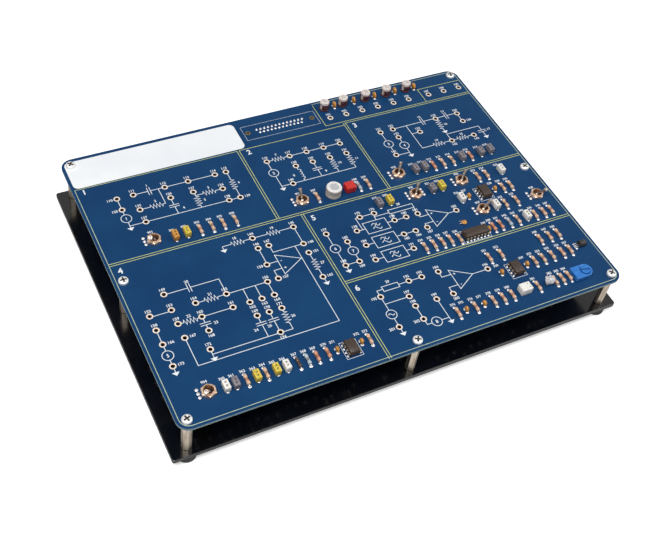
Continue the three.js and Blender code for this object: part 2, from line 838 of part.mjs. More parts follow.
// The transistor lies on its flat side, with three leads towards the left
function addTransistor() {
  const t = transistor;
  const body = new THREE.CylinderGeometry(t.radius, t.radius, t.length, sides.lamp);
  body.rotateZ(Math.PI / 2);
  const round = joined([moved(body, 0, 0, t.flat)]);
  const below = joined([block(t.length + overrun, t.radius * 2 + overrun, t.radius * 2, 0, 0, -t.radius * 2)]);
  const leads = joined(
    [-t.leadPitch, 0, t.leadPitch].map((y) =>
      block(t.leadReach + overrun, t.leadRadius * 2, t.flat, (overrun - t.length - t.leadReach) / 2, y, 0),
    ),
  );
  const mesh = addPiece("transistor", round.subtract(below).add(leads), materials.black);
  mesh.position.set(...onBoard(transistorShare), boardTop);
}

addBoard();
addBasePlate();
addSpacers();
addBoardScrews();
addBaseScrews();
addFeet();
addConnector();
addToggles();
addTrimmer();
addChips();
addCoil();
addElectrolytics();
addBoxes();
addLamp();
addTransistor();

export default module;
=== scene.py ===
# Filter trainer module: the looks of a blue circuit board with test terminals, toggle switches and
# soldered parts, on hexagonal spacers over a glossy black base plate.
# Lengths are in millimetres, +X to the right, +Y to the back, +Z up, and become metres in each mesh.

import itertools
import math
import random

import bmesh
import bpy
from mathutils import Matrix, Vector

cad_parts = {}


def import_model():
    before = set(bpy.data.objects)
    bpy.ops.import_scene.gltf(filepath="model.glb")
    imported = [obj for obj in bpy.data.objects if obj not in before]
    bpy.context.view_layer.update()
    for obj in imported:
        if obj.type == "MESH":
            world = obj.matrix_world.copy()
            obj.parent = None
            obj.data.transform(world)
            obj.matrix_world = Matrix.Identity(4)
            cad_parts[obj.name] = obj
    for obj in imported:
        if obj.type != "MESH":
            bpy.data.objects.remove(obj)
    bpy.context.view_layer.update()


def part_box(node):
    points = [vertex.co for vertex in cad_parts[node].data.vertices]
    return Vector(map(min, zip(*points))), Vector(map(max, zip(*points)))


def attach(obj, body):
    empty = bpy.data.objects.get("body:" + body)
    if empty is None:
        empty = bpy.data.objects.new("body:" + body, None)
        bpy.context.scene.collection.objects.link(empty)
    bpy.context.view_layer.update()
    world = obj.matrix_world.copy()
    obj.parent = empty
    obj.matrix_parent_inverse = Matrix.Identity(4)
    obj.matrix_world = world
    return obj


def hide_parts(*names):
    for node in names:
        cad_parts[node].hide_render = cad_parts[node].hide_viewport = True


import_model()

MM = 0.001
BODY = "module"
QUARTER = math.pi / 2
# Points nearer than this are one, and the round ends of wires have these shares of the wire's radius
WELD = 0.0005
DOME = {"reach": 0.6, "tip": 0.55, "sides": 8}

# Driving sizes, those of the solids, except that the spacers, the feet and the corners of the plate
# follow the photo

BOARD = {"width": 290, "depth": 210, "thickness": 1.6, "corner": 7.5, "edge": 0.12, "rim": 2}
PLATE = {"overhang": 4, "thickness": 3, "corner": 1.4, "edge": 0.25}
SPACER = {"length": 25, "flats": 5.2, "chamfer": 0.35}
FOOT = {"height": 5, "top": 5.9, "bottom": 5.85, "rounding": 0.9, "web": 2.2, "bore": 3.3, "hole": 1.9}
SCREW = {"radius": 3, "height": 2, "cross": 4.2, "slot": 1, "taper": 0.55, "depth": 1.3, "shank": 1.4}
PLATE_TOP = FOOT["height"] + PLATE["thickness"]
BOARD_BOTTOM = PLATE_TOP + SPACER["length"]
TOP = BOARD_BOTTOM + BOARD["thickness"]
PLATE_WIDTH = BOARD["width"] + 2 * PLATE["overhang"]
CUTOUT = {"width": 62, "depth": 20, "corner": 4}
CONNECTOR_SHARE = (0.5, 0.064)

TERMINAL = {"hole": 1.2, "barrel": 1.16, "eyelet": 1.3, "rise": 0.06, "silk": 2.02}
PRINT = {"line": 0.42, "rise": 0.02, "number": 1.9, "small_number": 1.7, "title": 4.2, "weight": 0.03,
         "type": 1.38, "layer": 0.0015, "layers": 12}

# Plain numbers count the terminals, the small parts and the switches from here
FIRST_NUMBER = {"terminal": 101, "part": 301, "switch": 901}
# How far the numbers stand from what they count, and how deep a row of them is
NUMBER_STEP = {"aside": 4.6, "above": 3.6, "part": 6.6, "switch": 7, "row": 7}

# The print was laid out on a drawing grid of 300 by 210 steps, counted from the back left corner
GRID = (300, 210)
# How the print and the parts lie on the board: a small shift, stretch and lean against its outline
LAY = {"shift_x": 0.62, "shift_y": -1.13, "width_loss": 0.0025, "depth_gain": 0.0033, "lean": 0.0055}


def on_board(share_x, share_y):
    """A place on the board from its shares of the width and of the depth from the back."""
    x, y = (share_x - 0.5) * BOARD["width"], (0.5 - share_y) * BOARD["depth"]
    return (x * (1 - LAY["width_loss"]) + LAY["shift_x"],
            y * (1 + LAY["depth_gain"]) + LAY["shift_y"] - x * LAY["lean"])


def on_grid(place):
    """A place on the board from its steps on the drawing grid."""
    return on_board(place[0] / GRID[0], place[1] / GRID[1])


# Mesh making


def at(x, y, z, turn=0):
    """A place, turned about the vertical by some degrees."""
    return Matrix.Translation((x, y, z)) @ Matrix.Rotation(math.radians(turn), 4, "Z")


def centre_of(node):
    """The middle of a solid's box seen from above, in millimetres."""
    low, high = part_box(node)
    return (low.x + high.x) / 2 / MM, (low.y + high.y) / 2 / MM


def finish_mesh(bm, name, materials, body=BODY, replaces=(), sharp=40):
    """Turns a mesh drawn in millimetres into a piece of the module."""
    bmesh.ops.remove_doubles(bm, verts=bm.verts, dist=WELD)
    bmesh.ops.recalc_face_normals(bm, faces=bm.faces)
    bm.transform(Matrix.Scale(MM, 4))
    mesh = bpy.data.meshes.new(name)
    bm.to_mesh(mesh)
    bm.free()
    for material in materials:
        mesh.materials.append(material)
    mesh.shade_smooth()
    mesh.set_sharp_from_angle(angle=math.radians(sharp))
    piece = bpy.data.objects.new(name, mesh)
    bpy.context.scene.collection.objects.link(piece)
    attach(piece, body)
    if replaces:
        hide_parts(*replaces)


def arc(radius, start, end, steps, centre=(0, 0)):
    """Points along an arc between two angles, with both its ends."""
    turns = [start + (end - start) * step / steps for step in range(steps + 1)]
    return [(centre[0] + radius * math.cos(turn), centre[1] + radius * math.sin(turn)) for turn in turns]


def circle(radius, sides, centre=(0, 0)):
    """The corners of a circle."""
    turns = [2 * math.pi * step / sides for step in range(sides)]
    return [(centre[0] + radius * math.cos(turn), centre[1] + radius * math.sin(turn)) for turn in turns]


def rectangle(width, depth):
    """The corners of a rectangle about the origin."""
    x, y = width / 2, depth / 2
    return [(-x, -y), (x, -y), (x, y), (-x, y)]


def polygon(across_flats, sides):
    """The corners of a regular polygon of a given width across its flats."""
    reach = across_flats / 2 / math.cos(math.pi / sides)
    turns = [2 * math.pi * (step + 0.5) / sides for step in range(sides)]
    return [(reach * math.cos(turn), reach * math.sin(turn)) for turn in turns]


def rounded_outline(width, depth, corner, steps=8):
    """The corners of a rectangle with round corners."""
    outline = []
    for quarter, (side_x, side_y) in enumerate([(1, 1), (-1, 1), (-1, -1), (1, -1)]):
        centre = (side_x * (width / 2 - corner), side_y * (depth / 2 - corner))
        outline += arc(corner, quarter * QUARTER, (quarter + 1) * QUARTER, steps, centre)
    return outline


def join_rings(bm, first, second, slot=0):
    """A band of faces between two rings with as many points."""
    faces = []
    for step in range(len(first)):
        after = (step + 1) % len(first)
        faces.append(bm.faces.new([first[step], first[after], second[after], second[step]]))
        faces[-1].material_index = slot
    return faces


def lathe(bm, profile, sides, place=Matrix.Identity(4), slots=None):
    """Sweeps (radius, height) points round an axis."""
    rings = []
    for radius, height in profile:
        spots = circle(radius, sides) if radius else [(0, 0)]
        rings.append([bm.verts.new(place @ Vector((*spot, height))) for spot in spots])
    for row, (low, high) in enumerate(zip(rings, rings[1:])):
        for step in range(sides):
            after = step + 1
            corners = [low[step % len(low)], low[after % len(low)],
                       high[after % len(high)], high[step % len(high)]]
            corners = list(dict.fromkeys(corners))
            if len(corners) < 3:
                continue
            face = bm.faces.new(corners)
            face.material_index = slots[row] if slots else 0


def prism(bm, outline, low, high, place=Matrix.Identity(4), slot=0, grow=0):
    """Raises an outline of (x, y) corners into a closed solid, grown outwards at the top."""
    lower = [bm.verts.new(place @ Vector((x, y, low))) for x, y in outline]
    upper = [bm.verts.new(place @ Vector((x * (1 + grow), y * (1 + grow), high))) for x, y in outline]
    faces = [bm.faces.new(upper), bm.faces.new(lower[::-1])]
    for face in faces:
        face.material_index = slot
    return faces + join_rings(bm, lower, upper, slot)


def soften(bm, faces, amount, segments=2):
    """Rounds the edges of some faces."""
    edges = list({edge for face in faces for edge in face.edges})
    bmesh.ops.bevel(bm, geom=edges, offset=amount, segments=segments, profile=0.5,
                    affect="EDGES", clamp_overlap=True)


def block(bm, size, place, rounding, slot=0, segments=2):
    """A box standing on the XY plane, with rounded edges."""
    width, depth, height = size
    faces = prism(bm, rectangle(width, depth), 0, height, place, slot)
    soften(bm, faces, rounding, segments)


def tube(bm, points, radius, slot=0):
    """A round wire along some points, with domed ends."""
    points = [Vector(point) for point in points]
    across = None
    frames = []
    for order, point in enumerate(points):
        ahead = (points[min(order + 1, len(points) - 1)] - points[max(order - 1, 0)]).normalized()
        if across is None:
            across = ahead.orthogonal().normalized()
        across = (across - ahead * across.dot(ahead)).normalized()
        frames.append((point, ahead, across, ahead.cross(across), radius))
    first, last = frames[0], frames[-1]
    reach, tip = radius * DOME["reach"], radius * DOME["tip"]
    frames.insert(0, (first[0] - first[1] * reach, *first[1:4], tip))
    frames.append((last[0] + last[1] * reach, *last[1:4], tip))
    rings = [[bm.verts.new(point + (across * x + beside * y) * size) for x, y in circle(1, DOME["sides"])]
             for point, _, across, beside, size in frames]
    for cap in (rings[0][::-1], rings[-1]):
        bm.faces.new(cap).material_index = slot
    for low, high in zip(rings, rings[1:]):
        join_rings(bm, low, high, slot)


def plate_mesh(outline, holes, low, high, edge):
    """A flat plate with round or shaped holes, as a mesh in millimetres."""
    curve = bpy.data.curves.new("plate_outline", "CURVE")
    curve.dimensions = "2D"
    curve.fill_mode = "BOTH"
    curve.extrude = (high - low) / 2 - edge
    curve.bevel_depth = edge
    curve.bevel_resolution = 1
    curve.offset = -edge
    for points in [outline] + holes:
        spline = curve.splines.new("POLY")
        spline.points.add(len(points) - 1)
        for point, (x, y) in zip(spline.points, points):
            point.co = (x, y, 0, 1)
        spline.use_cyclic_u = True
    holder = bpy.data.objects.new("plate_outline", curve)
    mesh = bpy.data.meshes.new_from_object(holder)
    bm = bmesh.new()
    bm.from_mesh(mesh)
    bm.transform(Matrix.Translation((0, 0, (low + high) / 2)))
    bpy.data.objects.remove(holder)
    bpy.data.meshes.remove(mesh)
    return bm


# Materials


def srgb(red, green, blue):
    """A colour from its 0 to 255 screen values."""
    shares = [value / 255 for value in (red, green, blue)]
    linear = [share / 12.92 if share <= 0.04045 else ((share + 0.055) / 1.055) ** 2.4
              for share in shares]
    return (*linear, 1)


class Nodes:
    """The node tree of one new material, with its shader."""

    def __init__(self, name):
        self.material = bpy.data.materials.new(name)
        self.material.use_nodes = True
        self.tree = self.material.node_tree
        self.shader = self.tree.nodes["Principled BSDF"]
        self.place = self.add("ShaderNodeTexCoord").outputs["Object"]

    def add(self, kind, **settings):
        node = self.tree.nodes.new(kind)
        for key, value in settings.items():
            setattr(node, key, value)
        return node

    def link(self, source, target):
        self.tree.links.new(source, target)

    def noise(self, size, detail=3, stretch=(1, 1, 1)):
        """Noise whose spots are about one size, in millimetres."""
        mapping = self.add("ShaderNodeMapping")
        mapping.inputs["Scale"].default_value = stretch
        self.link(self.place, mapping.inputs["Vector"])
        node = self.add("ShaderNodeTexNoise")
        node.inputs["Scale"].default_value = 1 / (size * MM)
        node.inputs["Detail"].default_value = detail
        self.link(mapping.outputs["Vector"], node.inputs["Vector"])
        return node.outputs["Fac"]

    def spread(self, source, low, high, start=0.35, end=0.65):
        """Maps the middle of a texture's range onto two values."""
        node = self.add("ShaderNodeMapRange")
        node.inputs["From Min"].default_value = start
        node.inputs["From Max"].default_value = end
        node.inputs["To Min"].default_value = low
        node.inputs["To Max"].default_value = high
        self.link(source, node.inputs["Value"])
        return node.outputs["Result"]

    def mix(self, factor, first, second):
        """Mixes two colours, or outputs, by a texture."""
        node = self.add("ShaderNodeMix", data_type="RGBA")
        self.link(factor, node.inputs["Factor"])
        for socket, value in ((node.inputs[6], first), (node.inputs[7], second)):
            if isinstance(value, tuple):
                socket.default_value = value
            else:
                self.link(value, socket)
        return node.outputs[2]

    def bump(self, source, depth):
        """Raises the surface by a texture, by up to a depth in millimetres."""
        node = self.add("ShaderNodeBump")
        node.inputs["Distance"].default_value = depth * MM
        self.link(source, node.inputs["Height"])
        self.link(node.outputs["Normal"], self.shader.inputs["Normal"])


def surface(name, colour, second, rough=(0.4, 0.5), size=1.5, metal=0.0, grain=0.15, depth=0.01, coat=0.0,
            stretch=(1, 1, 1)):
    """A finish of two close colours in soft spots, with a fine grain and an uneven gloss."""
    nodes = Nodes(name)
    spots = nodes.spread(nodes.noise(size, stretch=stretch), 0, 1)
    nodes.link(nodes.mix(spots, srgb(*colour), srgb(*second)), nodes.shader.inputs["Base Color"])
    fine = nodes.noise(grain, 2, stretch)
    nodes.link(nodes.spread(nodes.noise(size * 0.6, 4, stretch), *rough), nodes.shader.inputs["Roughness"])
    nodes.bump(fine, depth)
    nodes.shader.inputs["Metallic"].default_value = metal
    nodes.shader.inputs["Coat Weight"].default_value = coat
    nodes.shader.inputs["Coat Roughness"].default_value = 0.12
    return nodes.material


def mask_material():
    """The blue lacquer of the board over its copper and glass cloth."""
    nodes = Nodes("board_blue")
    cloud = nodes.spread(nodes.noise(28, 3), 0, 1)
    colour = nodes.mix(cloud, srgb(11, 54, 97), srgb(16, 61, 103))
    fine = nodes.spread(nodes.noise(0.5, 4), 0, 1)
    colour = nodes.mix(nodes.spread(fine, 0, 0.16, 0, 1), colour, srgb(32, 82, 122))
    nodes.link(colour, nodes.shader.inputs["Base Color"])
    nodes.link(nodes.spread(nodes.noise(40, 3), 0.36, 0.42), nodes.shader.inputs["Roughness"])
    nodes.shader.inputs["Specular IOR Level"].default_value = 0.15
    nodes.bump(nodes.noise(0.4, 2), 0.0015)
    return nodes.material


def laminate_edge_material():
    """The sawn edge of the board: layers of glass cloth under thin blue lacquer."""
    nodes = Nodes("board_edge")
    layers = nodes.spread(nodes.noise(0.5, 2, (0.03, 0.03, 1)), 0, 1)
    dust = nodes.spread(nodes.noise(0.7, 4), 0, 0.6)
    colour = nodes.mix(layers, srgb(92, 128, 150), srgb(150, 160, 140))
    nodes.link(nodes.mix(dust, colour, srgb(66, 96, 124)), nodes.shader.inputs["Base Color"])
    nodes.link(nodes.spread(nodes.noise(0.4, 3), 0.55, 0.75), nodes.shader.inputs["Roughness"])
    nodes.bump(nodes.noise(0.25, 3, (0.2, 0.2, 1)), 0.03)
    return nodes.material


def lamp_material():
    """The clear moulded body of the lamp."""
    nodes = Nodes("lamp_clear")
    cloud = nodes.spread(nodes.noise(0.8), 0, 1)
    nodes.link(nodes.mix(cloud, srgb(246, 244, 244), srgb(228, 226, 230)), nodes.shader.inputs["Base Color"])
    nodes.link(nodes.spread(nodes.noise(0.5), 0.05, 0.12), nodes.shader.inputs["Roughness"])
    nodes.shader.inputs["Transmission Weight"].default_value = 0.4
    nodes.shader.inputs["IOR"].default_value = 1.5
    nodes.bump(nodes.noise(0.6), 0.01)
    return nodes.material


def rim_material():
    """The sawn edge of the base plate: black, dull, with pale dust in its scratches."""
    nodes = Nodes("plate_rim")
    dust = nodes.spread(nodes.noise(0.35, 5), 0, 0.5, 0.52, 0.72)
    nodes.link(nodes.mix(dust, srgb(15, 14, 14), srgb(76, 72, 66)), nodes.shader.inputs["Base Color"])
    nodes.link(nodes.spread(nodes.noise(0.8, 3), 0.35, 0.6), nodes.shader.inputs["Roughness"])
    nodes.bump(nodes.noise(0.4, 4, (0.15, 0.15, 1)), 0.04)
    return nodes.material


BLUE = mask_material()
EDGE = laminate_edge_material()
RIM = rim_material()
SILK = surface("print_white", (242, 245, 247), (224, 230, 234), (0.5, 0.62), 1.2, grain=0.2)
RING = surface("ring_cream", (244, 236, 226), (230, 212, 194), (0.46, 0.6), 0.9, grain=0.25, depth=0.02)
LINE = surface("print_line", (212, 218, 142), (190, 198, 128), (0.5, 0.62), 2.5, grain=0.2)
HEM = surface("print_hem", (198, 210, 178), (174, 190, 162), (0.5, 0.62), 2.5, grain=0.2)
LABEL = surface("label_white", (246, 248, 250), (236, 240, 244), (0.3, 0.4), 30, grain=0.8, depth=0.006,
                coat=0.3)
GOLD = surface("terminal_gold", (196, 140, 84), (160, 104, 60), (0.24, 0.4), 0.8, 1.0, 0.2)
OLIVE = surface("rivet_brass", (150, 140, 96), (112, 104, 70), (0.3, 0.45), 0.9, 0.8, 0.2)
# Painted shade: a dark brown for the shade down the terminal barrels and in the middle of the rivets
HOLE_SHADE = surface("hole_painted_shade", (48, 28, 20), (26, 16, 13), (0.5, 0.7), 0.6, 0.2, 0.2)
COPPER = surface("bushing_bronze", (246, 224, 204), (206, 168, 138), (0.3, 0.44), 1.6, 0.85, 0.25)
# Painted shade: the bushing's mouth and throat in a darker bronze, as the shade inside it
MOUTH_SHADE = surface("bushing_mouth_painted_shade", (150, 112, 84), (92, 64, 46), (0.34, 0.5), 1.2, 0.8, 0.25)
THREAD = surface("thread_bronze", (226, 188, 156), (160, 120, 92), (0.34, 0.5), 1.2, 0.7, 0.2)
SOLDER = surface("solder", (236, 232, 230), (198, 196, 198), (0.38, 0.56), 0.9, 0.8, 0.3, 0.03)
PINS = surface("chip_pins", (240, 232, 216), (206, 190, 166), (0.34, 0.5), 0.8, 0.45, 0.2)
TIN = surface("tinned_wire", (206, 206, 208), (160, 160, 164), (0.25, 0.4), 0.8, 1.0, 0.2)
STEEL = surface("screw_nickel", (248, 248, 246), (226, 226, 224), (0.36, 0.48), 1.4, 0.45, 0.2)
# Painted shade: the walls of the screws' cross recess, darkened as the shade inside it
RECESS_SHADE = surface("screw_recess_painted_shade", (104, 100, 96), (70, 67, 64), (0.4, 0.55), 1.0, 0.5, 0.2)
PILLAR = surface("spacer_nickel", (218, 206, 190), (172, 158, 140), (0.34, 0.46), 2.2, 1.0, 0.2,
                 stretch=(1, 1, 0.15))
BLACK = surface("plate_black", (8, 9, 11), (14, 14, 17), (0.1, 0.2), 24, grain=0.6, depth=0.004, coat=0.35)
RUBBER = surface("foot_rubber", (17, 17, 18), (30, 30, 31), (0.55, 0.72), 1.6, grain=0.25, depth=0.06)
EPOXY = surface("chip_black", (50, 38, 30), (64, 48, 38), (0.4, 0.56), 0.9, grain=0.12, depth=0.03)
DARK = surface("switch_dark", (20, 20, 21), (34, 33, 33), (0.4, 0.55), 1.4, grain=0.2, depth=0.02)
SHELL = surface("shell_nickel", (198, 198, 196), (158, 158, 158), (0.28, 0.42), 2.4, 1.0, 0.3)
CONTACT = surface("contact_gold", (226, 184, 96), (196, 150, 70), (0.2, 0.34), 0.8, 1.0, 0.2)
LEVER = surface("lever_metal", (214, 204, 194), (160, 144, 130), (0.24, 0.38), 1.2, 0.9, 0.2)
TAN = surface("resistor_tan", (228, 194, 166), (208, 168, 140), (0.3, 0.42), 0.8, grain=0.25, coat=0.3)
PALE = surface("resistor_pale", (186, 200, 206), (166, 182, 192), (0.3, 0.42), 0.8, grain=0.25, coat=0.3)
RUSSET = surface("resistor_red", (214, 156, 126), (196, 134, 104), (0.3, 0.42), 0.8, grain=0.25, coat=0.3)
GRIM = surface("resistor_dark", (74, 62, 60), (56, 46, 46), (0.3, 0.42), 0.8, grain=0.25, coat=0.3)
BROWN = surface("band_brown", (88, 46, 30), (70, 36, 24), (0.34, 0.44), 0.6, grain=0.25)
ORANGE = surface("band_orange", (178, 84, 36), (158, 70, 30), (0.34, 0.44), 0.6, grain=0.25)
BRASS = surface("band_gold", (186, 150, 84), (166, 128, 66), (0.26, 0.36), 0.6, 0.6, 0.25)
YELLOW = surface("capacitor_yellow", (226, 202, 84), (206, 180, 62), (0.36, 0.48), 1.4, grain=0.3)
GREY = surface("capacitor_grey", (140, 136, 142), (112, 108, 116), (0.38, 0.5), 1.4, grain=0.3)
WHITE = surface("capacitor_white", (246, 244, 238), (228, 225, 218), (0.36, 0.48), 1.4, grain=0.3)
AMBER = surface("capacitor_amber", (226, 164, 68), (164, 104, 36), (0.26, 0.4), 0.8, grain=0.35, depth=0.03,
                coat=0.3)
INK = surface("print_dark", (52, 46, 40), (72, 64, 56), (0.5, 0.6), 0.5, grain=0.2)
RED = surface("capacitor_red", (212, 40, 30), (188, 28, 22), (0.2, 0.34), 1.8, grain=0.5, depth=0.02,
              coat=0.4)
CLAY = surface("coil_body", (206, 198, 188), (186, 176, 164), (0.45, 0.58), 1.6, grain=0.3, depth=0.03)
CHALK = surface("coil_rim", (238, 236, 234), (222, 219, 216), (0.4, 0.52), 2.0, grain=0.3, depth=0.02)
ASH = surface("coil_top", (196, 196, 198), (180, 180, 183), (0.44, 0.56), 2.0, grain=0.3, depth=0.02)
SLEEVE = surface("can_sleeve", (112, 52, 40), (74, 34, 28), (0.24, 0.38), 1.6, grain=0.4, coat=0.3)
CANTOP = surface("can_top", (250, 246, 242), (206, 186, 178), (0.3, 0.46), 0.8, 0.3, 0.35, 0.1)
COBALT = surface("trimmer_blue", (42, 124, 204), (32, 108, 188), (0.3, 0.44), 1.6, grain=0.3, coat=0.2)
# Painted shade: a dark blue for the shade in the dial's slot and in the gap round the dial
SLOT_SHADE = surface("trimmer_slot_painted_shade", (14, 58, 124), (10, 44, 100), (0.3, 0.44), 1.2, grain=0.25)
TRANSISTOR = surface("transistor_black", (24, 24, 27), (36, 36, 40), (0.36, 0.5), 0.9, grain=0.15, depth=0.03)
CLEAR = lamp_material()

# The print on the board

LAYERS = itertools.count()


def next_lift():
    """The height of the next line of print, a hair apart from the last."""
    return PRINT["rise"] + PRINT["layer"] * (next(LAYERS) % PRINT["layers"])


def ribbon(bm, points, width=PRINT["line"], slot=0, lift=PRINT["rise"], closed=False):
    """A flat strip along some points on the board, with mitred corners."""
    points = [Vector(point) for point in points]
    count = len(points)
    sides = []
    for place, point in enumerate(points):
        before = points[place - 1] if closed or place > 0 else None
        after = points[(place + 1) % count] if closed or place < count - 1 else None
        into = (point - before).normalized() if before is not None else (after - point).normalized()
        out = (after - point).normalized() if after is not None else into
        across = Vector((-into.y - out.y, into.x + out.x)).normalized()
        reach = width / 2 / max(across.dot(Vector((-into.y, into.x))), 0.4)
        sides.append((point + across * reach, point - across * reach))
    verts = [[bm.verts.new((*spot, TOP + lift)) for spot in pair] for pair in sides]
    pairs = zip(verts, verts[1:] + verts[:1]) if closed else zip(verts, verts[1:])
    for low, high in pairs:
        bm.faces.new([low[0], low[1], high[1], high[0]]).material_index = slot


def clear_runs(points):
    """The stretches of a wire that lie outside the rings of the terminals."""
    reach = TERMINAL["silk"] - PRINT["line"] / 2
    runs, run = [], [points[0]]
    for start, end in zip(points, points[1:]):
        along = (end - start).normalized()
        length = (end - start).length
        gaps = []
        for place in TERMINAL_PLACES:
            near = (Vector(place) - start).dot(along)
            aside = (Vector(place) - start - along * near).length
            if aside < TERMINAL["hole"] and -reach < near < length + reach:
                gaps.append((near - reach, near + reach))
        for low, high in sorted(gaps):
            if run and low > 0:
                runs.append(run + [start + along * low])
            elif len(run) > 1:
                runs.append(run)
            run = [start + along * high] if high < length else []
        if run:
            run.append(end)
    if len(run) > 1:
        runs.append(run)
    return runs


def wire(bm, points, closed=False):
    """A printed wire that stops at the terminals, a hair higher than the one drawn before it."""
    points = [Vector(point) for point in points]
    lift = next_lift()
    runs = clear_runs(points + points[:1] if closed else points)
    if closed and len(runs) == 1:
        ribbon(bm, points, lift=lift, closed=True)
        return
    for run in runs:
        ribbon(bm, run, lift=lift)


def hoop(bm, centre, inner, outer, slot=0, sides=28, lift=PRINT["rise"]):
    """A flat ring printed on the board."""
    inside, outside = ([bm.verts.new((*spot, TOP + lift)) for spot in circle(radius, sides, centre)]
                       for radius in (inner, outer))
    join_rings(bm, outside, inside, slot)


def patch(bm, outline, lift=PRINT["rise"]):
    """A filled shape printed on the board."""
    bm.faces.new([bm.verts.new((*spot, TOP + lift)) for spot in outline])


def figure(bm, text, centre, height, lift=PRINT["rise"]):
    """A number or sign printed on the board, centred on a place."""
    curve = bpy.data.curves.new("figure", "FONT")
    curve.body = text
    curve.size = height * PRINT["type"]
    curve.offset = height * PRINT["weight"]
    curve.align_x = "CENTER"
    curve.resolution_u = 2
    holder = bpy.data.objects.new("figure", curve)
    mesh = bpy.data.meshes.new_from_object(holder)
    mesh.transform(Matrix.Translation((centre[0], centre[1] - height / 2, TOP + lift)))
    bm.from_mesh(mesh)
    bpy.data.objects.remove(holder)
    bpy.data.meshes.remove(mesh)


SYMBOL = {"resistor": 8, "half_height": 1.75, "peaks": 4, "gap": 1.6, "plate": 6.4, "coil": 8.8, "loops": 4,
          "source": 3.2, "arrow": 4.4, "arrow_height": 2.4, "sign": 2.2}
FILTER_SIGN = {"wave": 6, "rows": (1.3, -1.6), "stroke": ((-1, 0.3), (1, 2.4))}


def symbol_frame(start, end, centre):
    """The middle, direction and cross direction of a symbol on a straight wire."""
    along = (end - start).normalized()
    middle = (start + end) / 2
    if centre is not None:
        middle = start + along * (Vector(on_grid(centre)) - start).dot(along)
    return middle, along, Vector((-along.y, along.x))


def draw_run(bm, kind, start, end, centre=None):
    """A wire with a symbol in it, between two places of the drawing grid."""
    start, end = Vector(on_grid(start)), Vector(on_grid(end))
    middle, along, across = symbol_frame(start, end, centre)
    half = {"resistor": SYMBOL["resistor"], "capacitor": SYMBOL["gap"], "coil": SYMBOL["coil"]}[kind] / 2
    wire(bm, [start, middle - along * half])
    wire(bm, [middle + along * half, end])
    if kind == "capacitor":
        for side in (-1, 1):
            bar = middle + along * half * side
            wire(bm, [bar - across * SYMBOL["plate"] / 2, bar + across * SYMBOL["plate"] / 2])
    if kind == "resistor":
        step = SYMBOL["resistor"] / (SYMBOL["peaks"] * 2)
        points = [middle - along * half]
        for place in range(SYMBOL["peaks"] * 2):
            side = 1 if place % 2 == 0 else -1
            points.append(middle - along * half + along * step * (place + 0.5)
                          + across * side * SYMBOL["half_height"])
        wire(bm, points + [middle + along * half])
    if kind == "coil":
        loop = SYMBOL["coil"] / SYMBOL["loops"]
        points = []
        for place in range(SYMBOL["loops"]):
            foot = middle - along * half + along * loop * (place + 0.5)
            for step in range(9):
                turn = math.pi * step / 8
                points.append(foot - along * math.cos(turn) * loop / 2 - across * math.sin(turn) * loop * 0.7)
        wire(bm, points)


def draw_ground(bm, place):
    """A filled arrow that points down, for the common line."""
    x, y = on_grid(place)
    half = SYMBOL["arrow"] / 2
    patch(bm, [(x - half, y), (x, y - SYMBOL["arrow_height"]), (x + half, y)], lift=2 * PRINT["rise"])


def draw_source(bm, place, number):
    """A signal source: a circle with a number, or with a wave where it has none."""
    centre = on_grid(place)
    hoop(bm, centre, SYMBOL["source"] - PRINT["line"] / 2, SYMBOL["source"] + PRINT["line"] / 2,
         lift=2 * PRINT["rise"])
    if number:
        figure(bm, number, centre, SYMBOL["sign"])
    else:
        draw_wave(bm, centre, SYMBOL["source"] * 1.2)


def draw_wave(bm, centre, length):
    """One period of a sine wave."""
    turns = [step / 12 for step in range(13)]
    ribbon(bm, [(centre[0] + (turn - 0.5) * length, centre[1] + math.sin(turn * 2 * math.pi) * length * 0.2)
                for turn in turns])


# Runs of each circuit: the symbol, its two ends and, where it isn't halfway, its middle
RUNS = [
    ("capacitor", (33.9, 42), (55, 42)),
    ("resistor", (33.8, 55), (50.5, 55), (44.6, 55)),
    ("capacitor", (55, 51.7), (55, 65.5)),
    ("resistor", (70.7, 54), (70.7, 65.5)),
    ("resistor", (70.7, 55), (89.5, 55)),
    ("resistor", (97.5, 42), (97.5, 65.5)),
    ("resistor", (126.6, 42.1), (143.3, 41.9)),
    ("coil", (143.3, 65.4), (143.3, 51.5), (143.3, 59.4)),
    ("capacitor", (156, 51.5), (156, 65.4)),
    ("resistor", (168.8, 51.2), (168.8, 65.4)),
    ("resistor", (181.6, 51.1), (181.6, 65.4)),
    ("capacitor", (224.1, 41), (258.8, 40.7), (248.1, 41)),
    ("capacitor", (258.8, 40.7), (276.7, 40.7)),
    ("resistor", (234.6, 64), (258.5, 63.9), (248, 64)),
    ("resistor", (258.5, 63.9), (276.7, 63.8)),
    ("resistor", (258.8, 40.7), (258.8, 54)),
    ("capacitor", (285, 57.3), (285, 67.5)),
    ("resistor", (70, 99.5), (90.3, 99.4)),
    ("resistor", (90.3, 99.4), (118.6, 99.4)),
    ("capacitor", (23.8, 121.7), (58.3, 121.6), (39.3, 121.7)),
    ("resistor", (38.5, 133.6), (58.3, 133.5)),
    ("resistor", (23.8, 144.1), (38.5, 143.9)),
    ("capacitor", (38.5, 143.8), (38.5, 154.2)),
    ("capacitor", (68.7, 153.7), (68.7, 169.6), (68.7, 160)),
    ("capacitor", (76.5, 153.6), (76.5, 169.6), (76.5, 160)),
    ("resistor", (84.4, 153.5), (84.4, 169.6), (84.4, 160.8)),
    ("resistor", (118.5, 120.9), (118.5, 141.4)),
]
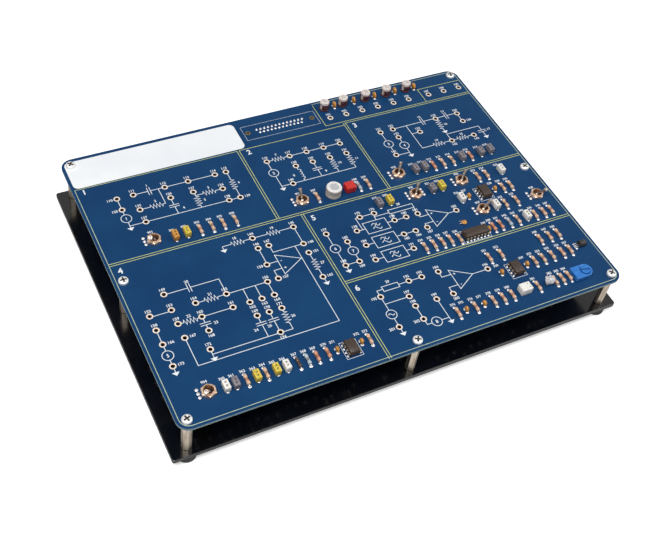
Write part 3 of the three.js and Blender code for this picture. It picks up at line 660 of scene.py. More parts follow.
WIRES = [
    [(55, 42), (89.5, 42)], [(50.5, 42), (50.5, 55)], [(23.1, 42), (23.1, 56.1)],
    [(23.2, 62.4), (23.2, 67)], [(23.2, 65.5), (97.5, 65.5)], [(70.7, 51.5), (70.7, 54)],
    [(143.3, 41.9), (181.6, 41.5)], [(126.6, 42.1), (126.6, 49.7)], [(126.6, 56.1), (126.6, 67)],
    [(126.6, 65.4), (181.6, 65.4)],
    [(213.8, 41.2), (213.8, 49.8)], [(213.8, 56.2), (213.6, 64.7), (223.8, 64.7)],
    [(276.7, 40.7), (276.7, 49.2)], [(234.6, 41), (234.6, 64)], [(234.6, 49.4), (241.4, 49.4)],
    [(258.5, 63.9), (258.5, 57.3), (285, 57.3)], [(223.8, 49.6), (223.8, 54.4)],
    [(223.8, 60.8), (223.8, 66.8)],
    [(70, 99.5), (70, 102)], [(118.6, 99.4), (118.6, 113.8)], [(90.3, 108), (90.3, 121.1), (97.5, 121.1)],
    [(97.7, 108), (97.7, 113.8), (118.6, 113.8)],
    [(112.6, 113.8), (112.6, 173.8), (23.8, 173.8), (23.8, 154.2)],
    [(92.2, 133.2), (92.2, 127), (97.5, 127)], [(58.3, 121.6), (58.3, 133.5)], [(10.5, 134), (23.7, 134)],
    [(58.3, 133.5), (84.8, 133.4), (84.8, 143.5)], [(68.7, 133.5), (68.7, 143.5)],
    [(76.6, 133.5), (76.6, 143.5)], [(10.5, 144.1), (10.5, 158.6)], [(10.5, 165), (10.5, 173.5)],
    [(38.5, 143.8), (58.2, 143.7)], [(34.1, 169.6), (84.4, 169.6)], [(34.1, 166.1), (34.1, 172)],
    [(118.5, 141.4), (118.5, 145.6)],
    [(135.6, 111.5), (135.6, 121)], [(135.6, 127.4), (135.6, 142)], [(135.6, 138.1), (145.5, 138.1)],
    [(145.5, 121.4), (145.5, 126.2)], [(145.5, 132.6), (145.5, 138.1)],
    [(173.3, 106), (159.4, 106), (159.4, 116.1)], [(155.5, 116.1), (161.5, 116.1)],
    [(155.3, 128.2), (161.5, 128.2)], [(155.4, 140.5), (161.5, 140.5)], [(177.6, 115.9), (191.8, 115.9)],
    [(177.6, 128.1), (191.7, 128.1)], [(177.6, 140.4), (183.2, 140.4)],
    [(173.3, 106), (171.8, 108.8), (182.8, 108.8)], [(171.8, 108.8), (171.8, 111.5)],
    [(183.9, 110), (183.1, 115.8)], [(200.6, 110), (200.5, 115.8)],
    [(200.5, 115.8), (200.5, 118.8), (206.9, 118.8)], [(200.4, 128), (200.4, 125), (206.9, 125)],
    [(220.2, 122), (226.5, 122)],
    [(144.2, 172.7), (144.2, 162.3), (148.3, 162.3)], [(159.4, 162.3), (176.2, 162.3)],
    [(161.2, 172.7), (144.2, 172.7), (144.2, 177.4)], [(144.2, 184.1), (144.2, 194.5)],
    [(161, 180), (161, 194.6), (164.5, 194.6)], [(170.7, 194.6), (176.2, 194.6)],
    [(176.2, 179.9), (176.2, 196.8)], [(188, 162.2), (188, 166.7), (194.6, 166.7)],
    [(188, 179.9), (188, 175.2), (194.6, 175.2)], [(207.9, 171), (219.4, 171)],
]
# Closed shapes of the drawings, as their corners
SHAPES = [
    [(97.5, 116.1), (97.5, 131.5), (112.2, 123.8)],
    [(206.9, 114.5), (206.9, 129.5), (220.2, 122)],
    [(194.6, 163.3), (194.6, 178.5), (207.9, 171)],
    [(182.8, 106.7), (201, 106.7), (201, 110), (182.8, 110)],
    [(148.3, 160.5), (159.4, 160.5), (159.4, 164.1), (148.3, 164.1)],
    [(161.5, 111.5), (177.6, 111.5), (177.6, 120.6), (161.5, 120.6)],
    [(161.5, 123.7), (177.6, 123.7), (177.6, 132.7), (161.5, 132.7)],
    [(161.5, 135.9), (177.6, 135.9), (177.6, 144.8), (161.5, 144.8)],
]
SUPPLY_FRAME = [(261.9, 23), (261.9, 10.2), (297.3, 10.2)]
PORT_FRAME = [(122.7, 7), (178, 7), (178, 20), (122.7, 20)]
GROUNDS = [(23.2, 67), (126.6, 67), (258.8, 54), (285, 67.5), (223.8, 66.8), (70, 102), (10.5, 173.5),
           (34.1, 172), (118.5, 145.6), (135.6, 142), (144.2, 194.5), (176.2, 196.8)]
SOURCES = [((23.2, 59.2), "1"), ((126.6, 52.9), "2"), ((213.8, 53), "3"), ((223.8, 57.6), "4"),
           ((10.5, 161.8), "5"), ((135.6, 124.2), "6"), ((145.5, 129.4), "7"), ((144.2, 180.7), ""),
           ((167.6, 194.6), "8")]
BOX_WAVES = [(169.6, 116.1), (169.6, 128.2), (169.6, 140.4)]
SIGNS = [((99.6, 121), "-"), ((99.8, 127), "+"), ((209.2, 118.4), "+"), ((209.2, 125.6), "-"),
         ((196.8, 166.9), "+"), ((196.8, 175), "-")]
# Numbers of the six circuits and of the parts in the drawings
TITLES = [((6, 30), "1"), ((119, 30), "2"), ((200, 29), "3"), ((6, 96.5), "4"), ((134, 96.5), "5"),
          ((134, 156), "6")]
PART_NUMBERS = [((44.4, 37), "1"), ((45, 51), "2"), ((81, 51), "3"), ((60, 62), "4"), ((75, 60), "5"),
                ((101.5, 53), "6"), ((135, 38), "7"), ((138.5, 59), "8"), ((160.8, 62), "9"),
                ((173, 58), "10"),
                ((186, 58), "11"), ((248, 36), "12"), ((267.5, 36), "13"), ((248, 60.2), "14"),
                ((268.5, 60.2), "15"), ((263, 48), "16"), ((290.5, 62), "17"), ((79.5, 95.5), "18"),
                ((105, 95.5), "19"), ((39.3, 117), "20"), ((49, 130), "21"), ((31.4, 140.5), "22"),
                ((44.5, 150), "23"), ((64, 163), "24"), ((72.6, 163), "25"), ((88.6, 161), "26"),
                ((123, 131), "27"), ((192, 104), "28"), ((153.8, 158), "29")]
# Lines between the circuits, drawn in pairs, and the frame inside the board's edge
DIVIDERS = [[(112.5, 27), (112.5, 90.2)], [(193.8, 25), (193.8, 90.2)], [(128.3, 91.4), (128.3, 207.8)],
            [(0.9, 90.8), (297.8, 90.8)], [(128.9, 150), (297.8, 150)], [(193.8, 24.3), (297.8, 24.3)]]
SINGLE_LINES = [[(0.9, 27), (111.7, 27), (111.7, 30)], [(113.3, 30), (113.3, 26.8), (193, 26.8)],
                [(180.2, 2), (180.2, 23.5), (194, 23.5)]]
DIVIDER = {"gap": 1.6, "line": 0.38, "inset": 1.9}
WHITE_LABEL = {"left": 1.1, "top": 2.6, "right": 119, "bottom": 25.6, "corner": 3.4}
# Terminals of the board: the share of the depth, then the shares of the width
TERMINALS = [
    [0.082, [0.623, 0.665, 0.708, 0.75, 0.793, 0.835, 0.891, 0.934, 0.977]],
    [0.2, [0.077, 0.113, 0.183, 0.236, 0.298, 0.324, 0.422, 0.478, 0.52, 0.563, 0.605]],
    [0.196, [0.713, 0.746, 0.863, 0.923]],
    [0.246, [0.077, 0.184, 0.235, 0.478, 0.52, 0.563, 0.605]],
    [0.235, [0.746, 0.804, 0.923]],
    [0.262, [0.112, 0.298]],
    [0.312, [0.112, 0.298, 0.324, 0.449]],
    [0.305, [0.712, 0.862, 0.923]],
    [0.473, [0.301, 0.395]],
    [0.514, [0.301, 0.325]],
    [0.542, [0.395]],
    [0.578, [0.079, 0.3, 0.395]],
    [0.635, [0.035, 0.079, 0.129, 0.194, 0.283, 0.307]],
    [0.684, [0.035, 0.079, 0.128, 0.193, 0.229, 0.255, 0.282]],
    [0.673, [0.394]],
    [0.733, [0.035, 0.079, 0.128, 0.229, 0.255, 0.282]],
    [0.791, [0.114]],
    [0.806, [0.035, 0.255]],
    [0.505, [0.542, 0.577]],
    [0.531, [0.452]],
    [0.551, [0.518, 0.61, 0.639, 0.668]],
    [0.579, [0.485, 0.755]],
    [0.61, [0.518, 0.61, 0.639, 0.668]],
    [0.658, [0.452, 0.484]],
    [0.669, [0.518, 0.61]],
    [0.772, [0.556, 0.587, 0.627]],
    [0.795, [0.481]],
    [0.814, [0.731]],
    [0.822, [0.537]],
    [0.858, [0.537, 0.587, 0.627]],
    [0.906, [0.48, 0.536]],
]
TERMINAL_PLACES = [on_board(across, row) for row, places in TERMINALS for across in places]
# Terminals whose number isn't above them, by their order in the table, and the way it goes
ASIDE = {"left": {9, 24, 49, 94, 100, 101}, "right": {33, 38, 47, 50, 56, 64, 65, 66, 72},
         "below": {41, 42, 61, 62, 63, 67, 73, 84, 85, 86, 88, 99}}


def number_step(order):
    """How far a terminal's number lies from it."""
    if order in ASIDE["left"] | ASIDE["right"]:
        return Vector((NUMBER_STEP["aside"] * (1 if order in ASIDE["right"] else -1), 0))
    return Vector((0, NUMBER_STEP["above"] * (-1 if order in ASIDE["below"] else 1)))


def draw_divider(bm, ends):
    """A pair of thin lines between two circuits."""
    start, end = (Vector(on_grid(place)) for place in ends)
    across = (end - start).normalized().orthogonal() * DIVIDER["gap"] / 2
    for side in (-1, 1):
        lift = next_lift()
        ribbon(bm, [start + across * side, end + across * side], DIVIDER["line"], lift=lift)


def draw_box_wave(bm, place):
    """Two waves with a stroke through the upper one, the sign of a filter."""
    x, y = on_grid(place)
    for rise in FILTER_SIGN["rows"]:
        draw_wave(bm, (x, y + rise), FILTER_SIGN["wave"])
    ribbon(bm, [(x + across, y + rise) for across, rise in FILTER_SIGN["stroke"]])


def white_print():
    """All white lines, symbols and numbers of the drawings, as one thin print."""
    bm = bmesh.new()
    for run in RUNS:
        draw_run(bm, *run)
    for line in WIRES:
        wire(bm, [on_grid(place) for place in line])
    for shape in SHAPES:
        wire(bm, [on_grid(place) for place in shape], closed=True)
    for place in GROUNDS:
        draw_ground(bm, place)
    for place, number in SOURCES:
        draw_source(bm, place, number)
    for place in BOX_WAVES:
        draw_box_wave(bm, place)
    for place, sign in SIGNS:
        figure(bm, sign, on_grid(place), SYMBOL["sign"], lift=2 * PRINT["rise"])
    for place, number in TITLES:
        figure(bm, number, on_grid(place), PRINT["title"])
    for place, number in PART_NUMBERS:
        figure(bm, number, on_grid(place), PRINT["number"], lift=2 * PRINT["rise"])
    for order, place in enumerate(TERMINAL_PLACES):
        hoop(bm, place, TERMINAL["hole"], TERMINAL["silk"], 1, sides=24, lift=3 * PRINT["rise"])
        figure(bm, str(FIRST_NUMBER["terminal"] + order), Vector(place) + number_step(order), PRINT["number"],
               lift=2 * PRINT["rise"])
    for place, text in part_labels():
        figure(bm, text, place, PRINT["small_number"], lift=2 * PRINT["rise"])
    for outline in part_outlines():
        ribbon(bm, outline, PRINT["line"] * 0.6, closed=True)
    ribbon(bm, [on_grid(place) for place in PORT_FRAME], PRINT["line"] * 0.42, closed=True)
    finish_mesh(bm, "print_drawings", [SILK, RING])


def line_print():
    """The pale lines between the circuits and round the board."""
    bm = bmesh.new()
    for ends in DIVIDERS:
        draw_divider(bm, ends)
    for line in SINGLE_LINES:
        ribbon(bm, [on_grid(place) for place in line], DIVIDER["line"], lift=1.9 * PRINT["rise"])
    inset = DIVIDER["inset"]
    width, depth = BOARD["width"] - 2 * inset, BOARD["depth"] - 2 * inset
    corners = rounded_outline(width, depth, BOARD["corner"] - inset)
    first = max(place for place, (x, y) in enumerate(corners) if x < 0 < y) + 1
    around = [spot for spot in corners[first:] + corners[:first] if not spot[0] < 0 < spot[1]]
    start, end = on_grid(SINGLE_LINES[0][0]), on_grid(SINGLE_LINES[2][0])
    ribbon(bm, [(-width / 2, start[1]), *around, (end[0], depth / 2)], DIVIDER["line"], 1, 2 * PRINT["rise"])
    ribbon(bm, [on_grid(place) for place in SUPPLY_FRAME], DIVIDER["line"], lift=2.2 * PRINT["rise"])
    finish_mesh(bm, "print_dividers", [LINE, HEM])


def label_panel():
    """The white panel at the back left corner, left bare."""
    bm = bmesh.new()
    left, back = on_grid((WHITE_LABEL["left"], WHITE_LABEL["top"]))
    right, front = on_grid((WHITE_LABEL["right"], WHITE_LABEL["bottom"]))
    outline = rounded_outline(right - left, back - front, WHITE_LABEL["corner"])
    centre = Vector(((left + right) / 2, (back + front) / 2))
    prism(bm, [Vector(spot) + centre for spot in outline], TOP, TOP + 2 * PRINT["rise"])
    finish_mesh(bm, "print_label", [LABEL])


def terminals():
    """Gold eyelets with their barrels through the board, the barrel walls painted dark as the shade down the
    holes.
    """
    bm = bmesh.new()
    barrel, eyelet, rise = TERMINAL["barrel"], TERMINAL["eyelet"], TERMINAL["rise"]
    profile = [(eyelet, BOARD_BOTTOM), (eyelet, BOARD_BOTTOM - rise), (barrel * 1.08, BOARD_BOTTOM - rise),
               (barrel, BOARD_BOTTOM), (barrel, TOP), (barrel * 1.1, TOP + rise),
               (eyelet, TOP + rise), (eyelet * 1.06, TOP + rise / 2), (eyelet * 1.06, TOP)]
    # Slot 1, the barrel wall inside the hole, takes the painted shade
    slots = [0, 0, 0, 1, 0, 0, 0, 0]
    for x, y in TERMINAL_PLACES:
        lathe(bm, profile, 20, at(x, y, 0), slots)
    finish_mesh(bm, "terminal_eyelets", [GOLD, HOLE_SHADE])


def board():
    """The lacquered board with its terminal holes and its sawn edge."""
    outline = rounded_outline(BOARD["width"], BOARD["depth"], BOARD["corner"], 12)
    holes = [circle(TERMINAL["hole"], 20, place) for place in TERMINAL_PLACES]
    bm = plate_mesh(outline, holes, BOARD_BOTTOM, TOP, BOARD["edge"])
    across, deep = BOARD["width"] / 2 - BOARD["rim"], BOARD["depth"] / 2 - BOARD["rim"]
    for face in bm.faces:
        centre = face.calc_center_median()
        if abs(face.normal.z) < 0.5 and (abs(centre.x) > across or abs(centre.y) > deep):
            face.material_index = 1
    finish_mesh(bm, "board_laminate", [BLUE, EDGE], replaces=["circuit_board"], sharp=12)

# Soldered parts. Each table gives the share of the depth, then the shares of the width

RESISTORS = {
    "tan": [[0.393, [0.209, 0.235, 0.26, 0.288]], [0.389, [0.481, 0.606]], [0.387, [0.802, 0.827]],
            [0.478, [0.856, 0.879]], [0.545, [0.893, 0.914]], [0.608, [0.871, 0.901]],
            [0.679, [0.634, 0.656, 0.677, 0.697, 0.871, 0.917, 0.94, 0.96]], [0.684, [0.7181]],
            [0.77, [0.886, 0.911, 0.934]], [0.78, [0.75, 0.78]],
            [0.838, [0.839, 0.861, 0.885, 0.911, 0.932]], [0.915, [0.15, 0.19, 0.41]],
            [0.923, [0.61, 0.652, 0.696, 0.719, 0.742, 0.807, 0.85, 0.868, 0.886]]],
    "pale": [[0.389, [0.583]], [0.679, [0.849]], [0.915, [0.276]]],
    "russet": [[0.387, [0.777, 0.876]], [0.679, [0.807, 0.826]], [0.915, [0.296, 0.319]]],
    "dark": [[0.915, [0.256]]],
}
BOX_CAPACITORS = {
    "yellow": [[0.395, [0.179]], [0.48, [0.625, 0.758]], [0.917, [0.17, 0.21]]],
    "grey": [[0.388, [0.728, 0.752, 0.852, 0.903, 0.929]], [0.48, [0.599, 0.734]], [0.917, [0.127]]],
    "white": [[0.48, [0.917]], [0.546, [0.782]], [0.608, [0.845]], [0.679, [0.894]],
              [0.917, [0.108, 0.231]]],
    "amber": [[0.397, [0.153]]],
}
DISCS = [[0.038, [0.648, 0.7, 0.756, 0.812, 0.865]], [0.545, [0.802, 0.871]],
         [0.684, [0.7919]], [0.843, [0.752, 0.816]], [0.916, [0.338, 0.391]], [0.924, [0.629, 0.672]]]
RESISTOR = {"radius": 1.15, "waist": 0.98, "length": 6.6, "span": 8.4, "sink": 0.25}
WIRE = {"radius": 0.3, "sink": 0.2}
BANDS = ((0.16, 0.28), (0.37, 0.48), (0.56, 0.67), (0.78, 0.87))
BOX = {"width": 3.5, "depth": 6.2, "height": 4.4, "rounding": 0.32, "span": 5, "stand": 0.3}
MARK = {"share": 0.17, "step": (0.42, 0.12), "width": 0.28, "length": 1.1, "rise": 0.03}
DISC = {"radius": 2, "thickness": 2, "sink": 0.15, "slim": 0.92, "span": 2.54, "supply_size": 1.25}
LYING_DISC = {"share": (0.751, 0.633), "turn": 160, "size": 0.9, "lean": 8}
PAD = {"radius": 1.05, "joint": 0.8, "joint_height": 0.7, "spike": 0.38, "spike_height": 1.3, "rise": 0.04}


def places(table):
    """The places on the board of a table of shares."""
    return [on_board(across, row) for row, row_places in table for across in row_places]


def resistor(bm, place, bands):
    """A resistor lying along Y: its banded body, its two wires and their bends."""
    x, y = place
    z = TOP + RESISTOR["radius"] - RESISTOR["sink"]
    half = RESISTOR["length"] / 2
    radius, waist = RESISTOR["radius"], RESISTOR["waist"]
    lying = Matrix.Translation((x, y, z)) @ Matrix.Rotation(-math.pi / 2, 4, "X")
    cap, shoulder = half * 0.55, half * 0.42
    ends = [(0, -half), (radius * 0.5, -half), (radius * 0.9, -half * 0.93), (radius, -half * 0.82),
            (radius, -cap), (waist, -shoulder)]
    profile = list(ends)
    slots = [0] * (len(ends) - 1)
    low, high = -shoulder, shoulder
    for place_in_row, (start, end) in enumerate(BANDS):
        first, last = low + (high - low) * start, low + (high - low) * end
        profile += [(waist, first), (waist, last)]
        slots += [0, bands[place_in_row]]
    mirrored = [(reach, -height) for reach, height in ends[::-1]]
    profile += mirrored
    slots += [0] * len(mirrored)
    lathe(bm, profile, 18, lying, slots)
    span = RESISTOR["span"] / 2
    for side in (-1, 1):
        points = [(x, y + side * (half - 0.3), z), (x, y + side * (span - 0.35), z),
                  (x, y + side * (span - 0.08), z - 0.1), (x, y + side * span, z - 0.4),
                  (x, y + side * span, TOP - WIRE["sink"])]
        tube(bm, points, WIRE["radius"], slot=1)


def resistors():
    """The rows of resistors, in their four colours."""
    bodies = {"tan": TAN, "pale": PALE, "russet": RUSSET, "dark": GRIM}
    shuffle = random.Random(7)
    for kind, table in RESISTORS.items():
        bm = bmesh.new()
        for place in places(table):
            bands = [shuffle.choice([2, 3]), shuffle.choice([2, 3, 4]), shuffle.choice([2, 3]), 5]
            resistor(bm, place, bands)
        finish_mesh(bm, f"resistors_{kind}", [bodies[kind], TIN, BROWN, ORANGE, GRIM, BRASS])


def box_capacitor(bm, place):
    """A moulded box on two wires, with two dark marks on its top."""
    x, y = place
    stand = BOX["stand"]
    block(bm, (BOX["width"], BOX["depth"], BOX["height"] - stand), at(x, y, TOP + stand), BOX["rounding"],
          segments=3)
    for side in (-1, 1):
        foot_y = y + side * BOX["span"] / 2
        tube(bm, [(x, foot_y, TOP + 2 * stand), (x, foot_y, TOP - WIRE["sink"])], WIRE["radius"], slot=1)
        mark = at(x, y + side * BOX["depth"] * MARK["share"], TOP + BOX["height"])
        for step in (-1, 0, 1):
            stroke = mark @ Matrix.Translation((MARK["step"][0] * step, MARK["step"][1] * step, 0))
            prism(bm, rectangle(MARK["width"], MARK["length"]), -0.02, MARK["rise"], stroke, slot=2)


def box_capacitors():
    """The small box capacitors, in their four colours."""
    bodies = {"yellow": YELLOW, "grey": GREY, "white": WHITE, "amber": AMBER}
    for kind, table in BOX_CAPACITORS.items():
        bm = bmesh.new()
        for place in places(table):
            box_capacitor(bm, place)
        finish_mesh(bm, f"box_capacitors_{kind}", [bodies[kind], TIN, INK])


def disc_capacitors():
    """Dipped capacitors that stand on edge, drawn down towards their two wires, and one that lies flat."""
    bm = bmesh.new()
    half, radius = DISC["thickness"] / 2, DISC["radius"]
    rim = [(radius * 0.6, half * 0.92), (radius * 0.88, half * 0.6)]
    profile = [(0, -half), *[(reach, -height) for reach, height in rim], (radius, 0), *rim[::-1], (0, half)]
    supply = places(DISCS[:1])
    for x, y in places(DISCS):
        size = DISC["supply_size"] if (x, y) in supply else 1
        z = TOP + radius * size - DISC["sink"]
        standing = Matrix.Translation((x, y, z)) @ Matrix.Rotation(QUARTER, 4, "Y")
        lathe(bm, [(reach * DISC["slim"] * size, height) for reach, height in profile], 24, standing)
        for side in (-1, 1):
            foot_y = y + side * DISC["span"] / 2
            foot = [(x, y + side * 0.9, z - 1.2), (x, foot_y, TOP + 0.35), (x, foot_y, TOP - WIRE["sink"])]
            tube(bm, foot, WIRE["radius"], slot=1)
            tube(bm, foot[:2], WIRE["radius"] * 1.7)
    x, y = on_board(*LYING_DISC["share"])
    lean = Matrix.Rotation(math.radians(LYING_DISC["lean"]), 4, "Y")
    lying = at(x, y, TOP + half * 0.9, LYING_DISC["turn"]) @ lean
    lathe(bm, [(reach * LYING_DISC["size"], height * 0.8) for reach, height in profile], 24, lying)
    for side in (-1, 1):
        ends = [lying @ Vector((radius * reach, side * aside, 0))
                for reach, aside in ((0.7, 0.7), (1.4, 1), (1.6, 1))]
        tube(bm, [*ends[:2], Vector((*ends[2].xy, TOP - WIRE["sink"]))], WIRE["radius"], slot=1)
    finish_mesh(bm, "disc_capacitors", [AMBER, TIN])


def solder_joint(bm, place, size=1):
    """A pad with its small cone of solder, on the top and on the underside."""
    x, y = place
    rim, joint, height = PAD["radius"] * size, PAD["joint"] * size, PAD["joint_height"] * size
    profile = [(rim, 0), (rim, PAD["rise"]), (joint, PAD["rise"] * 2), (joint * 0.62, height * 0.45),
               (joint * 0.34, height * 0.85), (0, height)]
    lathe(bm, profile, 16, at(x, y, TOP))
    spike = PAD["spike"] * size
    under = [(rim * 1.1, 0), (rim * 1.1, PAD["rise"]), (joint, PAD["rise"] * 3), (spike * 1.3, height),
             (spike, PAD["spike_height"] * 0.8), (0, PAD["spike_height"])]
    below = Matrix.Translation((x, y, BOARD_BOTTOM)) @ Matrix.Rotation(math.pi, 4, "X")
    lathe(bm, under, 12, below)


def joint_places():
    """The places of all solder joints of the two-wire parts."""
    parts = [(table, RESISTOR["span"]) for table in RESISTORS.values()]
    parts += [(table, BOX["span"]) for table in BOX_CAPACITORS.values()] + [(DISCS, DISC["span"])]
    spots = []
    for table, span in parts:
        for x, y in places(table):
            spots += [(x, y + side * span / 2) for side in (-1, 1)]
    return spots


def solder_joints():
    """Every soldered pad of the small parts and the spare pads beside the switches."""
    bm = bmesh.new()
    for place in joint_places():
        solder_joint(bm, place)
    for place in spare_pads():
        solder_joint(bm, place, 0.95)
    finish_mesh(bm, "solder_joints", [SOLDER])


def label_order(spot):
    """Sorts places by rows from the back, and from left to right in a row."""
    return (-round(spot[1] / NUMBER_STEP["row"]), spot[0])


def part_labels():
    """A plain number over each small part, counted in rows."""
    labels = []
    tables = [*RESISTORS.values(), *BOX_CAPACITORS.values(), DISCS[1:]]
    spots = sorted({place for table in tables for place in places(table)}, key=label_order)
    for order, (x, y) in enumerate(spots):
        labels.append(((x, y + NUMBER_STEP["part"]), str(FIRST_NUMBER["part"] + order)))
    for order, (x, y, _) in enumerate(SWITCHES):
        labels.append(((x, y + NUMBER_STEP["switch"]), str(FIRST_NUMBER["switch"] + order)))
    return labels


# Toggle switches: the shares of the width and depth, and the lever's direction in degrees
SWITCH_SHARES = [(0.11, 0.386, -138), (0.445, 0.388, 92), (0.686, 0.384, 54), (0.075, 0.912, -129),
                 (0.692, 0.48, 52), (0.813, 0.476, 39), (0.813, 0.606, 9), (0.956, 0.608, -44)]
SWITCHES = [(*on_board(across, deep), lean) for across, deep, lean in SWITCH_SHARES]
TOGGLE = {"length": 13.2, "width": 7.9, "height": 9.4, "bushing": 3.15, "rise": 2.8, "mouth": 2.75,
          "throat": 1.75, "flats": 8, "nut": 1.9, "gap": 0.2, "lug": 2, "lug_thickness": 0.8, "lug_length": 4,
          "lug_pitch": 4.7, "threads": 6}
LEVER_SIZE = {"rise": 0.4, "ball": 1.35, "length": 8.2, "neck": 0.7, "tip": 1.3, "tip_length": 3.2,
              "tilt": 35}
SPARE = {"reach": 5.5, "pitch": 2.54, "shift": 1}


def spare_pads():
    """Three plated holes in a column beside each switch."""
    spots = []
    for order, (x, y, _) in enumerate(SWITCHES):
        for side in (-1, 1) if order == 4 else (-1,):
            spots += [(x + side * SPARE["reach"], y + SPARE["shift"] + step * SPARE["pitch"])
                      for step in (-1, 0, 1)]
    return spots


NUT = {"sides": 36, "turned": 0.35}


def hex_nut(bm, across_flats, low, high, bore, place, slot=0):
    """A six-sided nut whose corners are turned off at the top."""
    half, sixth = across_flats / 2, math.pi / 6
    turns = [2 * math.pi * step / NUT["sides"] for step in range(NUT["sides"])]
    flats = [half / math.cos((turn + sixth) % (2 * sixth) - sixth) for turn in turns]
    corner = half / math.cos(sixth)
    loops = [[(min(flat, cap), height) for flat in flats]
             for height, cap in ((low, corner), (high - NUT["turned"], corner), (high, half * 0.97))]
    loops += [[(bore, height) for _ in turns] for height in (high, low)]
    rings = [[bm.verts.new(place @ Vector((reach * math.cos(turn), reach * math.sin(turn), height)))
              for turn, (reach, height) in zip(turns, loop)] for loop in loops]
    for first, second in zip(rings, rings[1:] + rings[:1]):
        join_rings(bm, first, second, slot)


def switch_body(order, x, y, lean):
    """The switch under the board, its threaded bushing and nut above, and its three lugs."""
    name = f"switch_{order}_body"
    bm = bmesh.new()
    upper = BOARD_BOTTOM - TOGGLE["gap"]
    lower = upper - TOGGLE["height"]
    length, width = TOGGLE["length"], TOGGLE["width"]
    box_low, box_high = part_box(name)
    turn = 90 if box_high.x - box_low.x < box_high.y - box_low.y else 0
    block(bm, (length, width, TOGGLE["height"] - 1.2), at(x, y, lower, turn), 0.6, segments=2)
    block(bm, (length * 0.98, width * 1.0, 1.4), at(x, y, upper - 1.4, turn), 0.3, slot=1)
    for step in (-1, 0, 1):
        aside = Matrix.Translation((step * TOGGLE["lug_pitch"], 0, 0))
        lug = at(x, y, lower - TOGGLE["lug_length"], turn) @ aside
        block(bm, (TOGGLE["lug_thickness"], TOGGLE["lug"], TOGGLE["lug_length"] + 0.3), lug, 0.15, slot=2)
    bushing, rise = TOGGLE["bushing"], TOGGLE["rise"]
    profile = [(bushing * 0.96, upper), (bushing * 0.96, TOP)]
    slots = [3]
    pitch = (rise - 0.5) / TOGGLE["threads"]
    for step in range(TOGGLE["threads"]):
        foot = TOP + step * pitch
        profile += [(bushing, foot + pitch * 0.3), (bushing, foot + pitch * 0.5),
                    (bushing * 0.93, foot + pitch * 0.95)]
        slots += [3, 3, 3]
    top = TOP + rise
    profile += [(bushing * 0.97, top - 0.35), (bushing * 0.95, top - 0.08), (TOGGLE["mouth"] * 1.02, top),
                (TOGGLE["mouth"] * 0.93, top - 0.12), (TOGGLE["throat"] * 1.15, top - 1.3),
                (TOGGLE["throat"], TOP + 0.6), (TOGGLE["throat"] * 0.98, TOP - 0.9), (0, TOP - 1.0)]
    # Slot 5, the lip of the mouth and the throat below it, is bronze with painted shade; slot 0 closes the
    # throat in the body's black
    slots += [3, 4, 5, 5, 5, 5, 0, 0]
    lathe(bm, profile, 36, at(x, y, 0), slots)
    foot = TOP + TOGGLE["gap"]
    hex_nut(bm, TOGGLE["flats"], foot, foot + TOGGLE["nut"], bushing * 0.97, at(x, y, 0, lean), slot=4)
    finish_mesh(bm, f"switch_{order}_dress", [DARK, SHELL, TIN, THREAD, COPPER, MOUTH_SHADE], replaces=[name],
                sharp=32)


def switch_lever(order, x, y, lean):
    """The lever: a ball in the bushing, a thin neck and a rod that swells to a flat end."""
    bm = bmesh.new()
    pivot = TOP + LEVER_SIZE["rise"]
    axis = Matrix.Translation((x, y, pivot)) @ Matrix.Rotation(math.radians(lean), 4, "Z") \
        @ Matrix.Rotation(math.radians(LEVER_SIZE["tilt"]), 4, "Y")
    ball, neck, tip = LEVER_SIZE["ball"], LEVER_SIZE["neck"], LEVER_SIZE["tip"]
    length, swell = LEVER_SIZE["length"], LEVER_SIZE["length"] - LEVER_SIZE["tip_length"]
    profile = [(0, -ball), *arc(ball, -QUARTER, QUARTER / 2, 6)[1:]]
    profile += [(neck, ball * 0.9), (neck, swell * 0.6), (neck * 1.15, swell * 0.85),
                (tip * 0.86, swell + 0.5), (tip * 0.96, length - 0.7), (tip, length - 0.35),
                (tip * 0.97, length - 0.1), (tip * 0.86, length),
                (tip * 0.62, length), (tip * 0.5, length - 0.12), (0, length - 0.14)]
    lathe(bm, profile, 24, axis)
    finish_mesh(bm, f"switch_{order}_rod", [LEVER], body=f"lever_{order}",
                replaces=[f"switch_{order}_lever"])


CHIP = {"width": 6.4, "height": 3.3, "stand": 0.5, "pitch": 2.54, "margin": 1.1, "rows": 7.62, "pin": 1.3,
        "thin": 0.3, "notch": 0.9, "taper": 0.35, "lift": 0.2}
CHIP_SHARES = [(0.366, 0.924, 8, 0), (0.842, 0.546, 8, 0), (0.787, 0.846, 8, 0), (0.757, 0.684, 14, 90)]


def chip_length(pins):
    """The length of a chip's body with so many pins."""
    return CHIP["pitch"] * (pins / 2 - 1) + 2 * CHIP["margin"]


